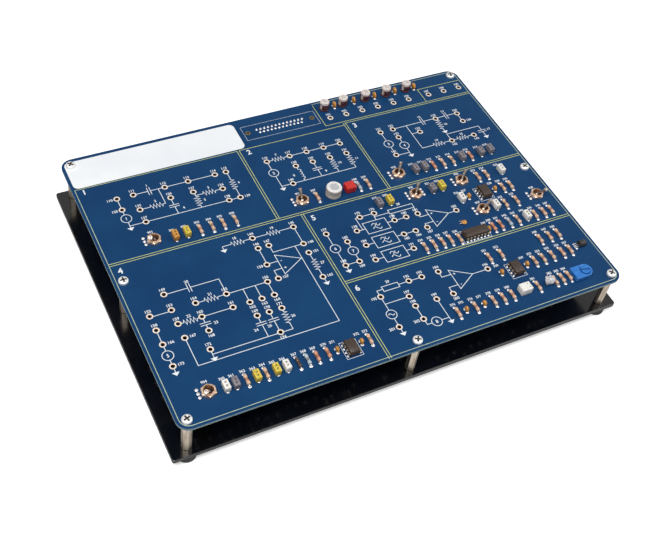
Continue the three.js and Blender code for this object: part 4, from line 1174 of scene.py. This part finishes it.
def amplifier_chip(order, x, y, pins, turn):
    """A moulded chip with a notch, a dimple at its first pin and bent legs with broad shoulders."""
    bm = bmesh.new()
    here = at(x, y, TOP + CHIP["lift"], turn)
    low, high = CHIP["stand"], CHIP["stand"] + CHIP["height"]
    middle = (low + high) / 2 - 0.1
    half_width, half_length = CHIP["width"] / 2, chip_length(pins) / 2
    corners = rectangle(CHIP["width"], chip_length(pins))
    notch = arc(CHIP["notch"], 0, -math.pi, 10, (0, half_length))
    notched = corners[:3] + notch + corners[3:]
    faces = prism(bm, notched, middle, high, here, grow=-CHIP["taper"] / half_length)
    faces += prism(bm, corners, low, middle, here)
    soften(bm, faces, 0.12, 1)
    dimple = here @ Matrix.Translation((-half_width + 1.3, half_length - 1.4, high))
    lathe(bm, [(0.55, 0.005), (0.5, 0.01), (0.42, 0.004), (0, 0.004)], 20, dimple, slots=[2, 2, 2])
    for step in range(int(pins / 2)):
        along = (step - (pins / 2 - 1) / 2) * CHIP["pitch"]
        for side in (-1, 1):
            leg = here @ Matrix.Translation((side * CHIP["rows"] / 2, along, 0)) \
                @ Matrix.Rotation(0 if side > 0 else math.pi, 4, "Z")
            knee, inner = CHIP["thin"], -(CHIP["rows"] / 2 - half_width)
            wide, thin = CHIP["pin"] / 2, 0.24
            bar = prism(bm, [(inner, -wide), (knee * 0.4, -wide), (knee * 0.4, wide), (inner, wide)],
                        middle - CHIP["thin"] / 2, middle + CHIP["thin"] / 2, leg, slot=1)
            drop = prism(bm, [(-CHIP["thin"] * 0.6, -wide), (knee * 0.4, -wide), (knee * 0.4, wide),
                              (-CHIP["thin"] * 0.6, wide)], 0.9, middle + CHIP["thin"] / 2, leg, slot=1)
            soften(bm, bar, 0.08, 2)
            soften(bm, drop, 0.08, 2)
            prism(bm, [(-CHIP["thin"] * 0.6, -thin), (knee * 0.4, -thin), (knee * 0.4, thin),
                       (-CHIP["thin"] * 0.6, thin)], -CHIP["lift"] - 0.4, 1, leg, slot=1)
    finish_mesh(bm, f"chip_{order}_dress", [EPOXY, PINS, GRIM], replaces=[f"amplifier_chip_{order}"])


def part_outlines():
    """The printed outlines round the chips."""
    outlines = []
    for across, deep, pins, turn in CHIP_SHARES:
        x, y = on_board(across, deep)
        half = (CHIP["rows"] / 2 + 1.3, chip_length(pins) / 2 + 0.9)
        wide, long = (half[1], half[0]) if turn else half
        outlines.append([(x + px, y + py) for px, py in rectangle(2 * wide, 2 * long)])
    return outlines


def chip_joints():
    """Solder round the legs of the chips, above and below the board."""
    bm = bmesh.new()
    for across, deep, pins, turn in CHIP_SHARES:
        x, y = on_board(across, deep)
        here = at(x, y, 0, turn)
        for step in range(int(pins / 2)):
            along = (step - (pins / 2 - 1) / 2) * CHIP["pitch"]
            for side in (-1, 1):
                spot = here @ Vector((side * CHIP["rows"] / 2, along, 0))
                solder_joint(bm, (spot.x, spot.y), 0.75)
    finish_mesh(bm, "chip_joints", [SOLDER])


COIL = {"radius": 5.1, "height": 6.9, "rounding": 0.9}
COIL_SHARE = (0.518, 0.393)
CAN = {"radius": 3.3, "height": 7, "groove": 0.25, "groove_rise": 1.3, "stripe": 7, "stripe_turn": 200,
       "stripe_step": 5}
CAN_SHARES = [0.622, 0.671, 0.731, 0.788, 0.843]
CAN_ROW = 0.036
WHITE_BOX = (7.4, 6, 5.4)
WHITE_BOX_SHARE = (0.771, 0.924)
RED_BOX = (6.8, 6.2, 5.1)
RED_BOX_SHARE = (0.558, 0.393)


def coil():
    """A wound coil in a round moulded case with a flat pale top."""
    x, y = on_board(*COIL_SHARE)
    radius, height, rounding = COIL["radius"], COIL["height"], COIL["rounding"]
    bm = bmesh.new()
    profile = [(0, 0.1), (radius * 0.96, 0.1), (radius * 0.985, 0.5), (radius, 1.2), (radius * 0.985, 1.4),
               (radius * 0.985, height * 0.7), (radius, height * 0.74)]
    profile += arc(rounding, 0, QUARTER, 5, (radius - rounding, height - rounding))[1:]
    profile += [(radius * 0.62, height), (radius * 0.6, height - 0.12), (0, height - 0.12)]
    lathe(bm, profile, 48, at(x, y, TOP), [0] * 8 + [1] * 5 + [2])
    finish_mesh(bm, "coil_dress", [CLAY, CHALK, ASH], replaces=["coil"])


SCORE = {"length": 3, "width": 0.18, "depth": 0.12}


def electrolytic(order, across):
    """A can capacitor: dark sleeve with its groove and stripe, and a crimped bare top."""
    x, y = on_board(across, CAN_ROW)
    radius, height, groove, rise = CAN["radius"], CAN["height"], CAN["groove"], CAN["groove_rise"]
    bm = bmesh.new()
    profile = [(0, 0), (radius * 0.94, 0), (radius, 0.25), (radius, rise - 0.4), (radius - groove, rise),
               (radius, rise + 0.4), (radius, height - 1.7), (radius * 0.97, height - 1.6),
               (radius * 0.97, height - 0.7), (radius * 0.9, height - 0.2), (radius * 0.82, height - 0.12),
               (radius * 0.78, height - 0.3), (radius * 0.5, height - 0.1), (0, height)]
    lathe(bm, profile, 36, at(x, y, TOP), [0] * 7 + [1] * 6)
    # The vent scores on the top: strokes in the dark resistor colour, painted shade for the stamped grooves
    for turn in (45, 135):
        score = at(x, y, TOP + height - SCORE["depth"], turn)
        prism(bm, rectangle(SCORE["length"], SCORE["width"]), 0, 0.1, score, slot=2)
    half_turn = CAN["stripe_step"] * CAN["stripe"] / 2
    start, end = (math.radians(CAN["stripe_turn"] + side * half_turn) for side in (-1, 1))
    strip = arc(radius + 0.02, start, end, CAN["stripe"], (x, y))
    low, high = ([bm.verts.new((*spot, TOP + level)) for spot in strip]
                 for level in (rise + 0.5, height - 1.8))
    for step in range(CAN["stripe"]):
        bm.faces.new([low[step], low[step + 1], high[step + 1], high[step]]).material_index = 3
    finish_mesh(bm, f"electrolytic_{order}_dress", [SLEEVE, CANTOP, GRIM, CLAY],
                replaces=[f"electrolytic_{order}"])


def boxed_part(name, node, share, size, rounding, material, shoulder):
    """A larger moulded box with softly rounded edges and a shallow seam round its foot."""
    x, y = on_board(*share)
    bm = bmesh.new()
    block(bm, (size[0], size[1], size[2] - shoulder), at(x, y, TOP + shoulder), rounding, segments=4)
    block(bm, (size[0] * 0.92, size[1] * 0.92, shoulder + 0.2), at(x, y, TOP), 0.1, segments=1)
    finish_mesh(bm, name, [material], replaces=[node], sharp=50)


LAMP = {"radius": 2.5, "flange": 2.9, "flange_height": 1, "height": 5.4, "rise": 2.7, "tilt": 60,
        "towards": -39, "lead": 0.28, "pitch": 2.54}
LAMP_SHARE = (0.827, 0.9203)


def box_marks():
    """Two small dark strokes on the top of the white box."""
    bm = bmesh.new()
    x, y = on_board(*WHITE_BOX_SHARE)
    for across, deep, turn in ((1.6, 1.2, 60), (2.3, -1.4, 0)):
        mark = at(x + across, y + deep, TOP + WHITE_BOX[2], turn)
        block(bm, (0.9, 0.35, 0.04), mark, 0.01, segments=1)
    finish_mesh(bm, "white_box_marks", [INK])


def lamp():
    """A clear lamp with a domed end and a flange, which leans over on its two leads."""
    x, y = on_board(*LAMP_SHARE)
    radius, height = LAMP["radius"], LAMP["height"]
    upright = at(x, y, TOP, LAMP["towards"])
    leaning = upright @ Matrix.Translation((0, 0, LAMP["rise"])) \
        @ Matrix.Rotation(math.radians(LAMP["tilt"]), 4, "Y")
    bm = bmesh.new()
    profile = [(0, 0), (LAMP["flange"] * 0.96, 0), (LAMP["flange"], 0.15), (LAMP["flange"], 0.85),
               (LAMP["flange"] * 0.95, LAMP["flange_height"]), (radius, LAMP["flange_height"]),
               *arc(radius, 0, QUARTER, 8, (0, height - radius))[:-1], (0, height)]
    lathe(bm, profile, 32, leaning)
    finish_mesh(bm, "lamp_dress", [CLEAR], replaces=["indicator_lamp"])
    bm = bmesh.new()
    for size, across in (((1.3, 0.5, 2.4), 0.4 - LAMP["pitch"] / 2), ((0.5, 0.4, 2.6), LAMP["pitch"] / 2)):
        block(bm, size, leaning @ Matrix.Translation((0, across, 0.4)), 0.05, segments=1)
    for side in (-1, 1):
        foot = Vector((0, side * LAMP["pitch"] / 2, 0))
        ends = [foot + Vector((0, 0, height)) for height in (-0.2, LAMP["rise"] - 0.6, 0.6)]
        points = [upright @ ends[0], upright @ ends[1], leaning @ foot, leaning @ ends[2]]
        tube(bm, points, LAMP["lead"])
    finish_mesh(bm, "lamp_frame", [TIN])


TRANSISTOR_SIZE = {"radius": 2.3, "flat": 1.2, "length": 4.6, "lead": 0.3, "pitch": 1.27}


def transistor():
    """A three-lead moulded part lying on its flat side, its leads bent down into the board."""
    low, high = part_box("transistor")
    x_low, x_high = low.x / MM, high.x / MM
    y = (low.y + high.y) / 2 / MM
    radius, flat = TRANSISTOR_SIZE["radius"], TRANSISTOR_SIZE["flat"]
    body_start = x_high - TRANSISTOR_SIZE["length"]
    base = low.z / MM
    bm = bmesh.new()
    open_angle = math.acos(flat / radius)
    start, end = -math.pi / 2 + open_angle, 3 * math.pi / 2 - open_angle
    outline = arc(radius, start, end, 24)
    lift = high.z / MM - radius
    lying = Matrix(((0, 0, 1, body_start), (1, 0, 0, y), (0, 1, 0, lift), (0, 0, 0, 1)))
    faces = prism(bm, outline, 0, TRANSISTOR_SIZE["length"], lying)
    soften(bm, faces[:2], 0.15, 2)
    for step in (-1, 0, 1):
        across = y + step * TRANSISTOR_SIZE["pitch"]
        points = [(body_start + 0.3, across, lift), (x_low + 1, across, lift),
                  (x_low + 0.5, across, lift - 0.25),
                  (x_low + 0.35, across, lift - 0.8), (x_low + 0.35, across, max(base, TOP) - 0.1)]
        tube(bm, points, TRANSISTOR_SIZE["lead"] * 0.8, slot=1)
    finish_mesh(bm, "transistor_dress", [TRANSISTOR, TIN], replaces=["transistor"])
    bm = bmesh.new()
    for step in (-1, 0, 1):
        solder_joint(bm, (x_low + 0.6, y + step * TRANSISTOR_SIZE["pitch"] * 1.35), 0.75)
    finish_mesh(bm, "transistor_joints", [SOLDER])


TRIMMER = {"width": 9.2, "height": 3.4, "stand": 0.3, "floor": 1.2, "stud": (1.2, 1.2, 0.5), "studs": 3.4}
DIAL = {"radius": 3.2, "slot": 0.9, "depth": 0.9, "turn": -18, "gap": 0.3}


def trimmer():
    """A trimmer housing with a square back and a round front, open for its dial."""
    low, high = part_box("trimmer_housing")
    x, y = centre_of("trimmer_dial")
    left, half = low.x / MM, TRIMMER["width"] / 2
    round_x = high.x / MM - half
    outline = [(left, y + half), (left, y - half), *arc(half, -QUARTER, QUARTER, 24, (round_x, y))]
    bore = circle(DIAL["radius"] + DIAL["gap"], 48, (x, y))
    bm = plate_mesh(outline, [bore], TOP + TRIMMER["stand"], TOP + TRIMMER["height"], 0.25)
    # The floor of the opening, seen in the gap round the dial, is painted dark blue as shade
    lathe(bm, [(DIAL["radius"] + 1, 0), (0, 0)], 32, at(x, y, TOP + TRIMMER["floor"]), slots=[1])
    reach = TRIMMER["studs"]
    for dx, dy in ((-1, -1), (-1, 1), (1, 0)):
        block(bm, TRIMMER["stud"], at(round_x + dx * reach, y + dy * reach, TOP), 0.1, segments=1)
    finish_mesh(bm, "trimmer_case", [COBALT, SLOT_SHADE], replaces=["trimmer_housing"], sharp=12)


def trimmer_dial():
    """The slotted dial, with its slot cut by the walls of two half discs."""
    low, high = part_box("trimmer_dial")
    centre = Vector(((low.x + high.x) / 2 / MM, (low.y + high.y) / 2 / MM))
    bottom, top = low.z / MM, high.z / MM
    here = at(centre.x, centre.y, 0, DIAL["turn"])
    radius, half = DIAL["radius"], DIAL["slot"] / 2
    bm = bmesh.new()
    edge = math.asin(half / radius)
    ledge = top - DIAL["depth"]
    for start in (0, math.pi):
        outline = arc(radius, start + edge, start + math.pi - edge, 20)
        faces = prism(bm, outline, ledge, top, here)
        soften(bm, faces[:1], 0.12, 2)
    # The floor of the slot is painted dark blue as the shade in it
    lathe(bm, [(0, bottom), (radius, bottom), (radius, ledge), (0, ledge)], 40, here, slots=[0, 0, 1])
    finish_mesh(bm, "trimmer_wheel", [COBALT, SLOT_SHADE], body="dial", replaces=["trimmer_dial"])


PORT = {"flange": (53, 12.5, 1), "hold": (40, 10.6, 4.4), "shell": (38.4, 7.9), "slant": 0.7, "corner": 2.2,
        "pitch": 2.77, "row": 2.84, "long": 13, "short": 12, "jacks": 47, "jack": 4.8, "jack_height": 5.2,
        "bore": 1.3, "pin": 0.3, "contact": 0.5}


def port_outline(grow=0):
    """The outline of the connector's shell, whose short sides slant, with round corners."""
    width, depth = PORT["shell"]
    half, deep = width / 2 + grow, depth / 2 + grow
    corners = [Vector((half, deep)), Vector((-half, deep)), Vector((-half + PORT["slant"], -deep)),
               Vector((half - PORT["slant"], -deep))]
    outline = []
    for place, corner in enumerate(corners):
        before = (corners[place - 1] - corner).normalized()
        after = (corners[(place + 1) % 4] - corner).normalized()
        for step in range(7):
            share = step / 6
            reach = PORT["corner"]
            first = corner + before * reach * (1 - share)
            second = corner + after * reach * share
            outline.append(first.lerp(second, share) if 0 < share < 1 else (first if share == 0 else second))
    return [(point.x, point.y) for point in outline]


def contact_places():
    """The 25 contacts, in a row of 13 and a row of 12."""
    spots = []
    for count, side in ((PORT["long"], 1), (PORT["short"], -1)):
        for step in range(count):
            spots.append(((step - (count - 1) / 2) * PORT["pitch"], side * PORT["row"] / 2))
    return spots


def data_connector():
    """The 25-way connector on the underside: flange, shell, insulator, contacts and two jacks."""
    x, y = on_board(*CONNECTOR_SHARE)
    upper, lower = BOARD_BOTTOM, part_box("data_connector")[0].z / MM
    hold, flange = PORT["hold"], PORT["flange"]
    flange_low = upper - hold[2] - flange[2]
    holes = [circle(PORT["bore"], 16, (side * PORT["jacks"] / 2, 0)) for side in (-1, 1)]
    rim = rounded_outline(flange[0], flange[1], 1.6, 5)
    bm = plate_mesh(rim, holes, flange_low, flange_low + flange[2], 0.15)
    bm.transform(Matrix.Translation((x, y, 0)))
    block(bm, hold, at(x, y, upper - hold[2]), 0.4, slot=1)
    outer, inner = port_outline(), port_outline(-0.5)
    rows = [(outer, flange_low), (outer, lower + 0.3), (port_outline(-0.12), lower), (inner, lower),
            (inner, flange_low - 0.4)]
    rings = [[bm.verts.new((x + px, y + py, height)) for px, py in ring] for ring, height in rows]
    for first, second in zip(rings, rings[1:]):
        join_rings(bm, first, second)
    core = port_outline(-1.1)
    prism(bm, [(x + px, y + py) for px, py in core], lower + 0.4, flange_low, slot=1)
    # Each contact is an open cone whose closed end is painted dark as the shade inside the socket
    for px, py in contact_places():
        tip = lower + 0.4
        lathe(bm, [(PORT["contact"] * 1.3, tip - 0.02), (PORT["contact"], tip - 0.04),
                   (PORT["contact"] * 0.7, tip + 0.6), (0, tip + 0.6)], 12, at(x + px, y + py, 0),
                   slots=[2, 2, 3])
    for side in (-1, 1):
        jack = at(x + side * PORT["jacks"] / 2, y, 0)
        hex_nut(bm, PORT["jack"], flange_low - PORT["jack_height"], flange_low, PORT["bore"], jack, slot=0)
    finish_mesh(bm, "data_connector_dress", [SHELL, DARK, CONTACT, GRIM], replaces=["data_connector"],
                sharp=35)
    bm = bmesh.new()
    for px, py in contact_places():
        points = [(x + px, y + py, TOP - 0.3), (x + px, y + py, TOP + 0.4),
                  (x + px + 0.05, y + py + 0.1, TOP + 0.8)]
        tube(bm, points, PORT["pin"])
        cone = [(0.82, 0), (0.82, 0.05), (0.66, 0.12), (0.4, 0.3), (0.2, 0.45)]
        lathe(bm, cone, 16, at(x + px, y + py, TOP))
    finish_mesh(bm, "data_connector_pins", [SOLDER])
    bm = bmesh.new()
    # The middle of each rivet is a disc painted dark as the shade in its hole
    for side in (-1, 1):
        lathe(bm, [(0, 0.1), (0.8, 0.1), (0.9, 0.3), (1.4, 0.35), (1.7, 0.25), (1.8, 0)], 28,
              at(x + side * PORT["jacks"] / 2, y, TOP), [1, 1, 0, 0, 0])
    finish_mesh(bm, "data_connector_rivets", [OLIVE, HOLE_SHADE])


# Fasteners, spacers, feet and the base plate

SPACERS = ("front_left", "back_left", "left_middle", "front_right", "back_right", "right_middle",
           "front_middle")


def spacer(name):
    """A turned six-sided pillar with chamfered ends."""
    node = f"spacer_{name}"
    bm = bmesh.new()
    faces = prism(bm, polygon(SPACER["flats"], 6), PLATE_TOP, BOARD_BOTTOM, at(*centre_of(node), 0))
    soften(bm, faces[:2], SPACER["chamfer"], 1)
    finish_mesh(bm, f"{node}_dress", [PILLAR], replaces=[node], sharp=25)


def loose_object(bm, name):
    """An object of its own in the screw's two materials."""
    mesh = bpy.data.meshes.new(name)
    bm.to_mesh(mesh)
    bm.free()
    for material in (STEEL, RECESS_SHADE):
        mesh.materials.append(material)
    item = bpy.data.objects.new(name, mesh)
    bpy.context.scene.collection.objects.link(item)
    return item


def screw_mesh():
    """A pan-head screw whose cross recess is cut into its head, upright at the origin."""
    radius, height = SCREW["radius"], SCREW["height"]
    bm = bmesh.new()
    dome = [(radius * (0.45 + 0.55 * across), height * (0.5 + 0.5 * up))
            for across, up in arc(1, 0, QUARTER, 8)[1:-1]]
    lathe(bm, [(0, 0), (radius * 0.96, 0), (radius, 0.12), (radius, height * 0.5), *dome, (0, height)], 40)
    head = loose_object(bm, "screw_head")
    bm = bmesh.new()
    half, long = SCREW["slot"] / 2 * SCREW["taper"], SCREW["cross"] / 2 * SCREW["taper"]
    outline = [(long, half), (half, half), (half, long), (-half, long), (-half, half), (-long, half),
               (-long, -half), (-half, -half), (-half, -long), (half, -long), (half, -half), (long, -half)]
    # The cutter's faces are in slot 1, so the cut walls of the recess take the painted shade
    prism(bm, outline, height - SCREW["depth"], height + 0.1, slot=1, grow=0.9)
    bmesh.ops.recalc_face_normals(bm, faces=bm.faces)
    cross = loose_object(bm, "screw_cross")
    cutter = head.modifiers.new("cross", "BOOLEAN")
    cutter.operation = "DIFFERENCE"
    cutter.object = cross
    bpy.context.view_layer.update()
    made = bpy.data.meshes.new_from_object(head.evaluated_get(bpy.context.evaluated_depsgraph_get()))
    for item in (head, cross):
        bpy.data.objects.remove(item)
    return made


def screws(name, mesh, turn):
    """The two screws of one spacer, from above and from below."""
    x, y = centre_of(f"spacer_{name}")
    below = at(x, y, 0) @ Matrix.Rotation(math.pi, 4, "X") @ at(0, 0, 0, turn * 2)
    for kind, place in (("board", at(x, y, 0, turn)), ("base", below)):
        node = f"{kind}_screw_{name}"
        low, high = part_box(node)
        foot = high.z / MM - SCREW["height"] if kind == "board" else low.z / MM + SCREW["height"]
        bm = bmesh.new()
        bm.from_mesh(mesh)
        bm.transform(Matrix.Translation((0, 0, foot)) @ place)
        finish_mesh(bm, f"{node}_dress", [STEEL, RECESS_SHADE], replaces=[node], sharp=30)


def rubber_foot(name):
    """A moulded rubber foot with a rounded rim and a hole for its screw."""
    node = f"rubber_foot_{name}"
    low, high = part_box(node)
    bottom, top = low.z / MM, high.z / MM
    hole, bore, rounding, web = FOOT["hole"], FOOT["bore"], FOOT["rounding"], top - FOOT["web"]
    profile = [(hole, top), (FOOT["top"] - 0.2, top), (FOOT["top"], top - 0.25),
               *arc(rounding, 0, -QUARTER, 6, (FOOT["bottom"] - rounding, bottom + rounding)),
               (bore + 0.2, bottom), (bore, bottom + 0.2), (bore, web), (hole, web), (hole, top)]
    bm = bmesh.new()
    lathe(bm, profile, 40, at(*centre_of(node), 0))
    finish_mesh(bm, f"foot_{name}_dress", [RUBBER], replaces=[node], sharp=50)


def base_plate():
    """The glossy black base plate, with its rubbed edge and the opening under the connector."""
    x, y = on_board(*CONNECTOR_SHARE)
    opening = rounded_outline(CUTOUT["width"], CUTOUT["depth"], CUTOUT["corner"])
    window = [(x + px, y + py) for px, py in opening]
    bores = [circle(SCREW["shank"] + 0.3, 16, centre_of(f"spacer_{name}")) for name in SPACERS]
    outline = rounded_outline(PLATE_WIDTH, BOARD["depth"], PLATE["corner"], 8)
    bm = plate_mesh(outline, [window] + bores, FOOT["height"], PLATE_TOP, PLATE["edge"])
    for face in bm.faces:
        if abs(face.normal.z) < 0.9:
            face.material_index = 1
    finish_mesh(bm, "base_plate_dress", [BLACK, RIM], replaces=["base_plate"], sharp=12)


board()
terminals()
white_print()
line_print()
label_panel()
resistors()
box_capacitors()
disc_capacitors()
solder_joints()
chip_joints()
for number, (switch_x, switch_y, lean_degrees) in enumerate(SWITCHES, 1):
    switch_body(number, switch_x, switch_y, lean_degrees)
    switch_lever(number, switch_x, switch_y, lean_degrees)
for number, (share_across, share_deep, pin_count, chip_turn) in enumerate(CHIP_SHARES, 1):
    amplifier_chip(number, *on_board(share_across, share_deep), pin_count, chip_turn)
coil()
for number, share_across in enumerate(CAN_SHARES, 1):
    electrolytic(number, share_across)
boxed_part("white_box", "white_capacitor", WHITE_BOX_SHARE, WHITE_BOX, 0.5, WHITE, 0.3)
boxed_part("red_box", "red_capacitor", RED_BOX_SHARE, RED_BOX, 0.6, RED, 0.3)
box_marks()
lamp()
transistor()
trimmer()
trimmer_dial()
data_connector()
pan_screw = screw_mesh()
for number, spacer_name in enumerate(SPACERS):
    spacer(spacer_name)
    screws(spacer_name, pan_screw, 17 + 37 * number)
for foot_name in ("front_left", "front_right", "back_left", "back_right"):
    rubber_foot(foot_name)
base_plate()

# Floor, light and camera. The lengths of the floor and the lamps are in metres

FLOOR = {"reach": 4, "glow": 0.45, "fade": (0.35, 1.1)}

def floor():
    """A plain pale floor that shows white to the camera but keeps the object's shadow."""
    mesh = bpy.data.meshes.new("floor")
    bm = bmesh.new()
    reach = FLOOR["reach"]
    corners = [(-reach, -reach), (reach, -reach), (reach, reach), (-reach, reach)]
    bm.faces.new([bm.verts.new((x, y, 0)) for x, y in corners])
    bm.to_mesh(mesh)
    bm.free()
    ground = bpy.data.objects.new("floor", mesh)
    bpy.context.scene.collection.objects.link(ground)
    nodes = Nodes("floor_pale")
    nodes.link(nodes.mix(nodes.noise(300, 2), srgb(246, 246, 246), srgb(250, 250, 250)),
               nodes.shader.inputs["Base Color"])
    nodes.shader.inputs["Roughness"].default_value = 0.9
    nodes.shader.inputs["Specular IOR Level"].default_value = 0
    nodes.shader.inputs["Emission Color"].default_value = (1, 1, 1, 1)
    far = nodes.add("ShaderNodeVectorMath", operation="LENGTH")
    nodes.link(nodes.place, far.inputs[0])
    glow = nodes.spread(far.outputs["Value"], FLOOR["glow"], 1, *FLOOR["fade"])
    path = nodes.add("ShaderNodeLightPath")
    seen = nodes.add("ShaderNodeMath", operation="MULTIPLY")
    nodes.link(path.outputs["Is Camera Ray"], seen.inputs[0])
    nodes.link(glow, seen.inputs[1])
    nodes.link(seen.outputs["Value"], nodes.shader.inputs["Emission Strength"])
    mesh.materials.append(nodes.material)


SKY = {"light": 0.04, "gloss": 0.6, "seen": 1}


def world():
    """An even sky: white where the camera looks, paler in gloss and glass, and dim as a light."""
    sky = bpy.data.worlds.new("studio")
    sky.use_nodes = True
    tree = sky.node_tree
    shade = tree.nodes["Background"]
    shade.inputs["Color"].default_value = (1, 1, 1, 1)
    path = tree.nodes.new("ShaderNodeLightPath")
    level = None
    for ray, part in (("Is Glossy Ray", "gloss"), ("Is Transmission Ray", "gloss"),
                      ("Is Camera Ray", "seen")):
        step = tree.nodes.new("ShaderNodeMapRange")
        step.inputs["To Min"].default_value = SKY["light"]
        step.inputs["To Max"].default_value = SKY[part]
        tree.links.new(path.outputs[ray], step.inputs["Value"])
        if level:
            tree.links.new(level, step.inputs["To Min"])
        level = step.outputs["Result"]
    tree.links.new(level, shade.inputs["Strength"])
    bpy.context.scene.world = sky


LIGHTS = {"key": {"place": (-0.5, -0.3, 1.3), "size": 0.9, "power": 19},
          "fill": {"place": (0.9, -0.3, 0.9), "size": 0.8, "power": 6}}


def lamp_area(name, place, size, power):
    """A soft lamp that looks at the middle of the board."""
    data = bpy.data.lights.new(name, "AREA")
    data.shape = "RECTANGLE"
    data.size = data.size_y = size
    data.energy = power
    light = bpy.data.objects.new(name, data)
    aim = Vector((0, 0, TOP * MM)) - Vector(place)
    light.matrix_world = Matrix.Translation(place) @ aim.to_track_quat("-Z", "Y").to_matrix().to_4x4()
    bpy.context.scene.collection.objects.link(light)


CAMERA = {"place": (-247.58, -364.04, 498.71), "target": (-21.77, -34.14, 34.6), "roll": 10.514,
          "lens": 55.736, "film": 36}


def camera():
    """The camera at the photograph's place, turned a little about its own axis."""
    data = bpy.data.cameras.new("camera")
    data.sensor_width = CAMERA["film"]
    data.sensor_fit = "HORIZONTAL"
    data.lens = CAMERA["lens"]
    data.clip_start, data.clip_end = 0.01, 20
    eye = bpy.data.objects.new("camera", data)
    place, target = Vector(CAMERA["place"]) * MM, Vector(CAMERA["target"]) * MM
    aim = (target - place).to_track_quat("-Z", "Y").to_matrix().to_4x4()
    roll = Matrix.Rotation(math.radians(CAMERA["roll"]), 4, "Z")
    eye.matrix_world = Matrix.Translation(place) @ aim @ roll
    bpy.context.scene.collection.objects.link(eye)
    bpy.context.scene.camera = eye


floor()
world()
for light_name, settings in LIGHTS.items():
    lamp_area(light_name, **settings)
camera()
bpy.context.scene.view_settings.view_transform = "Standard"
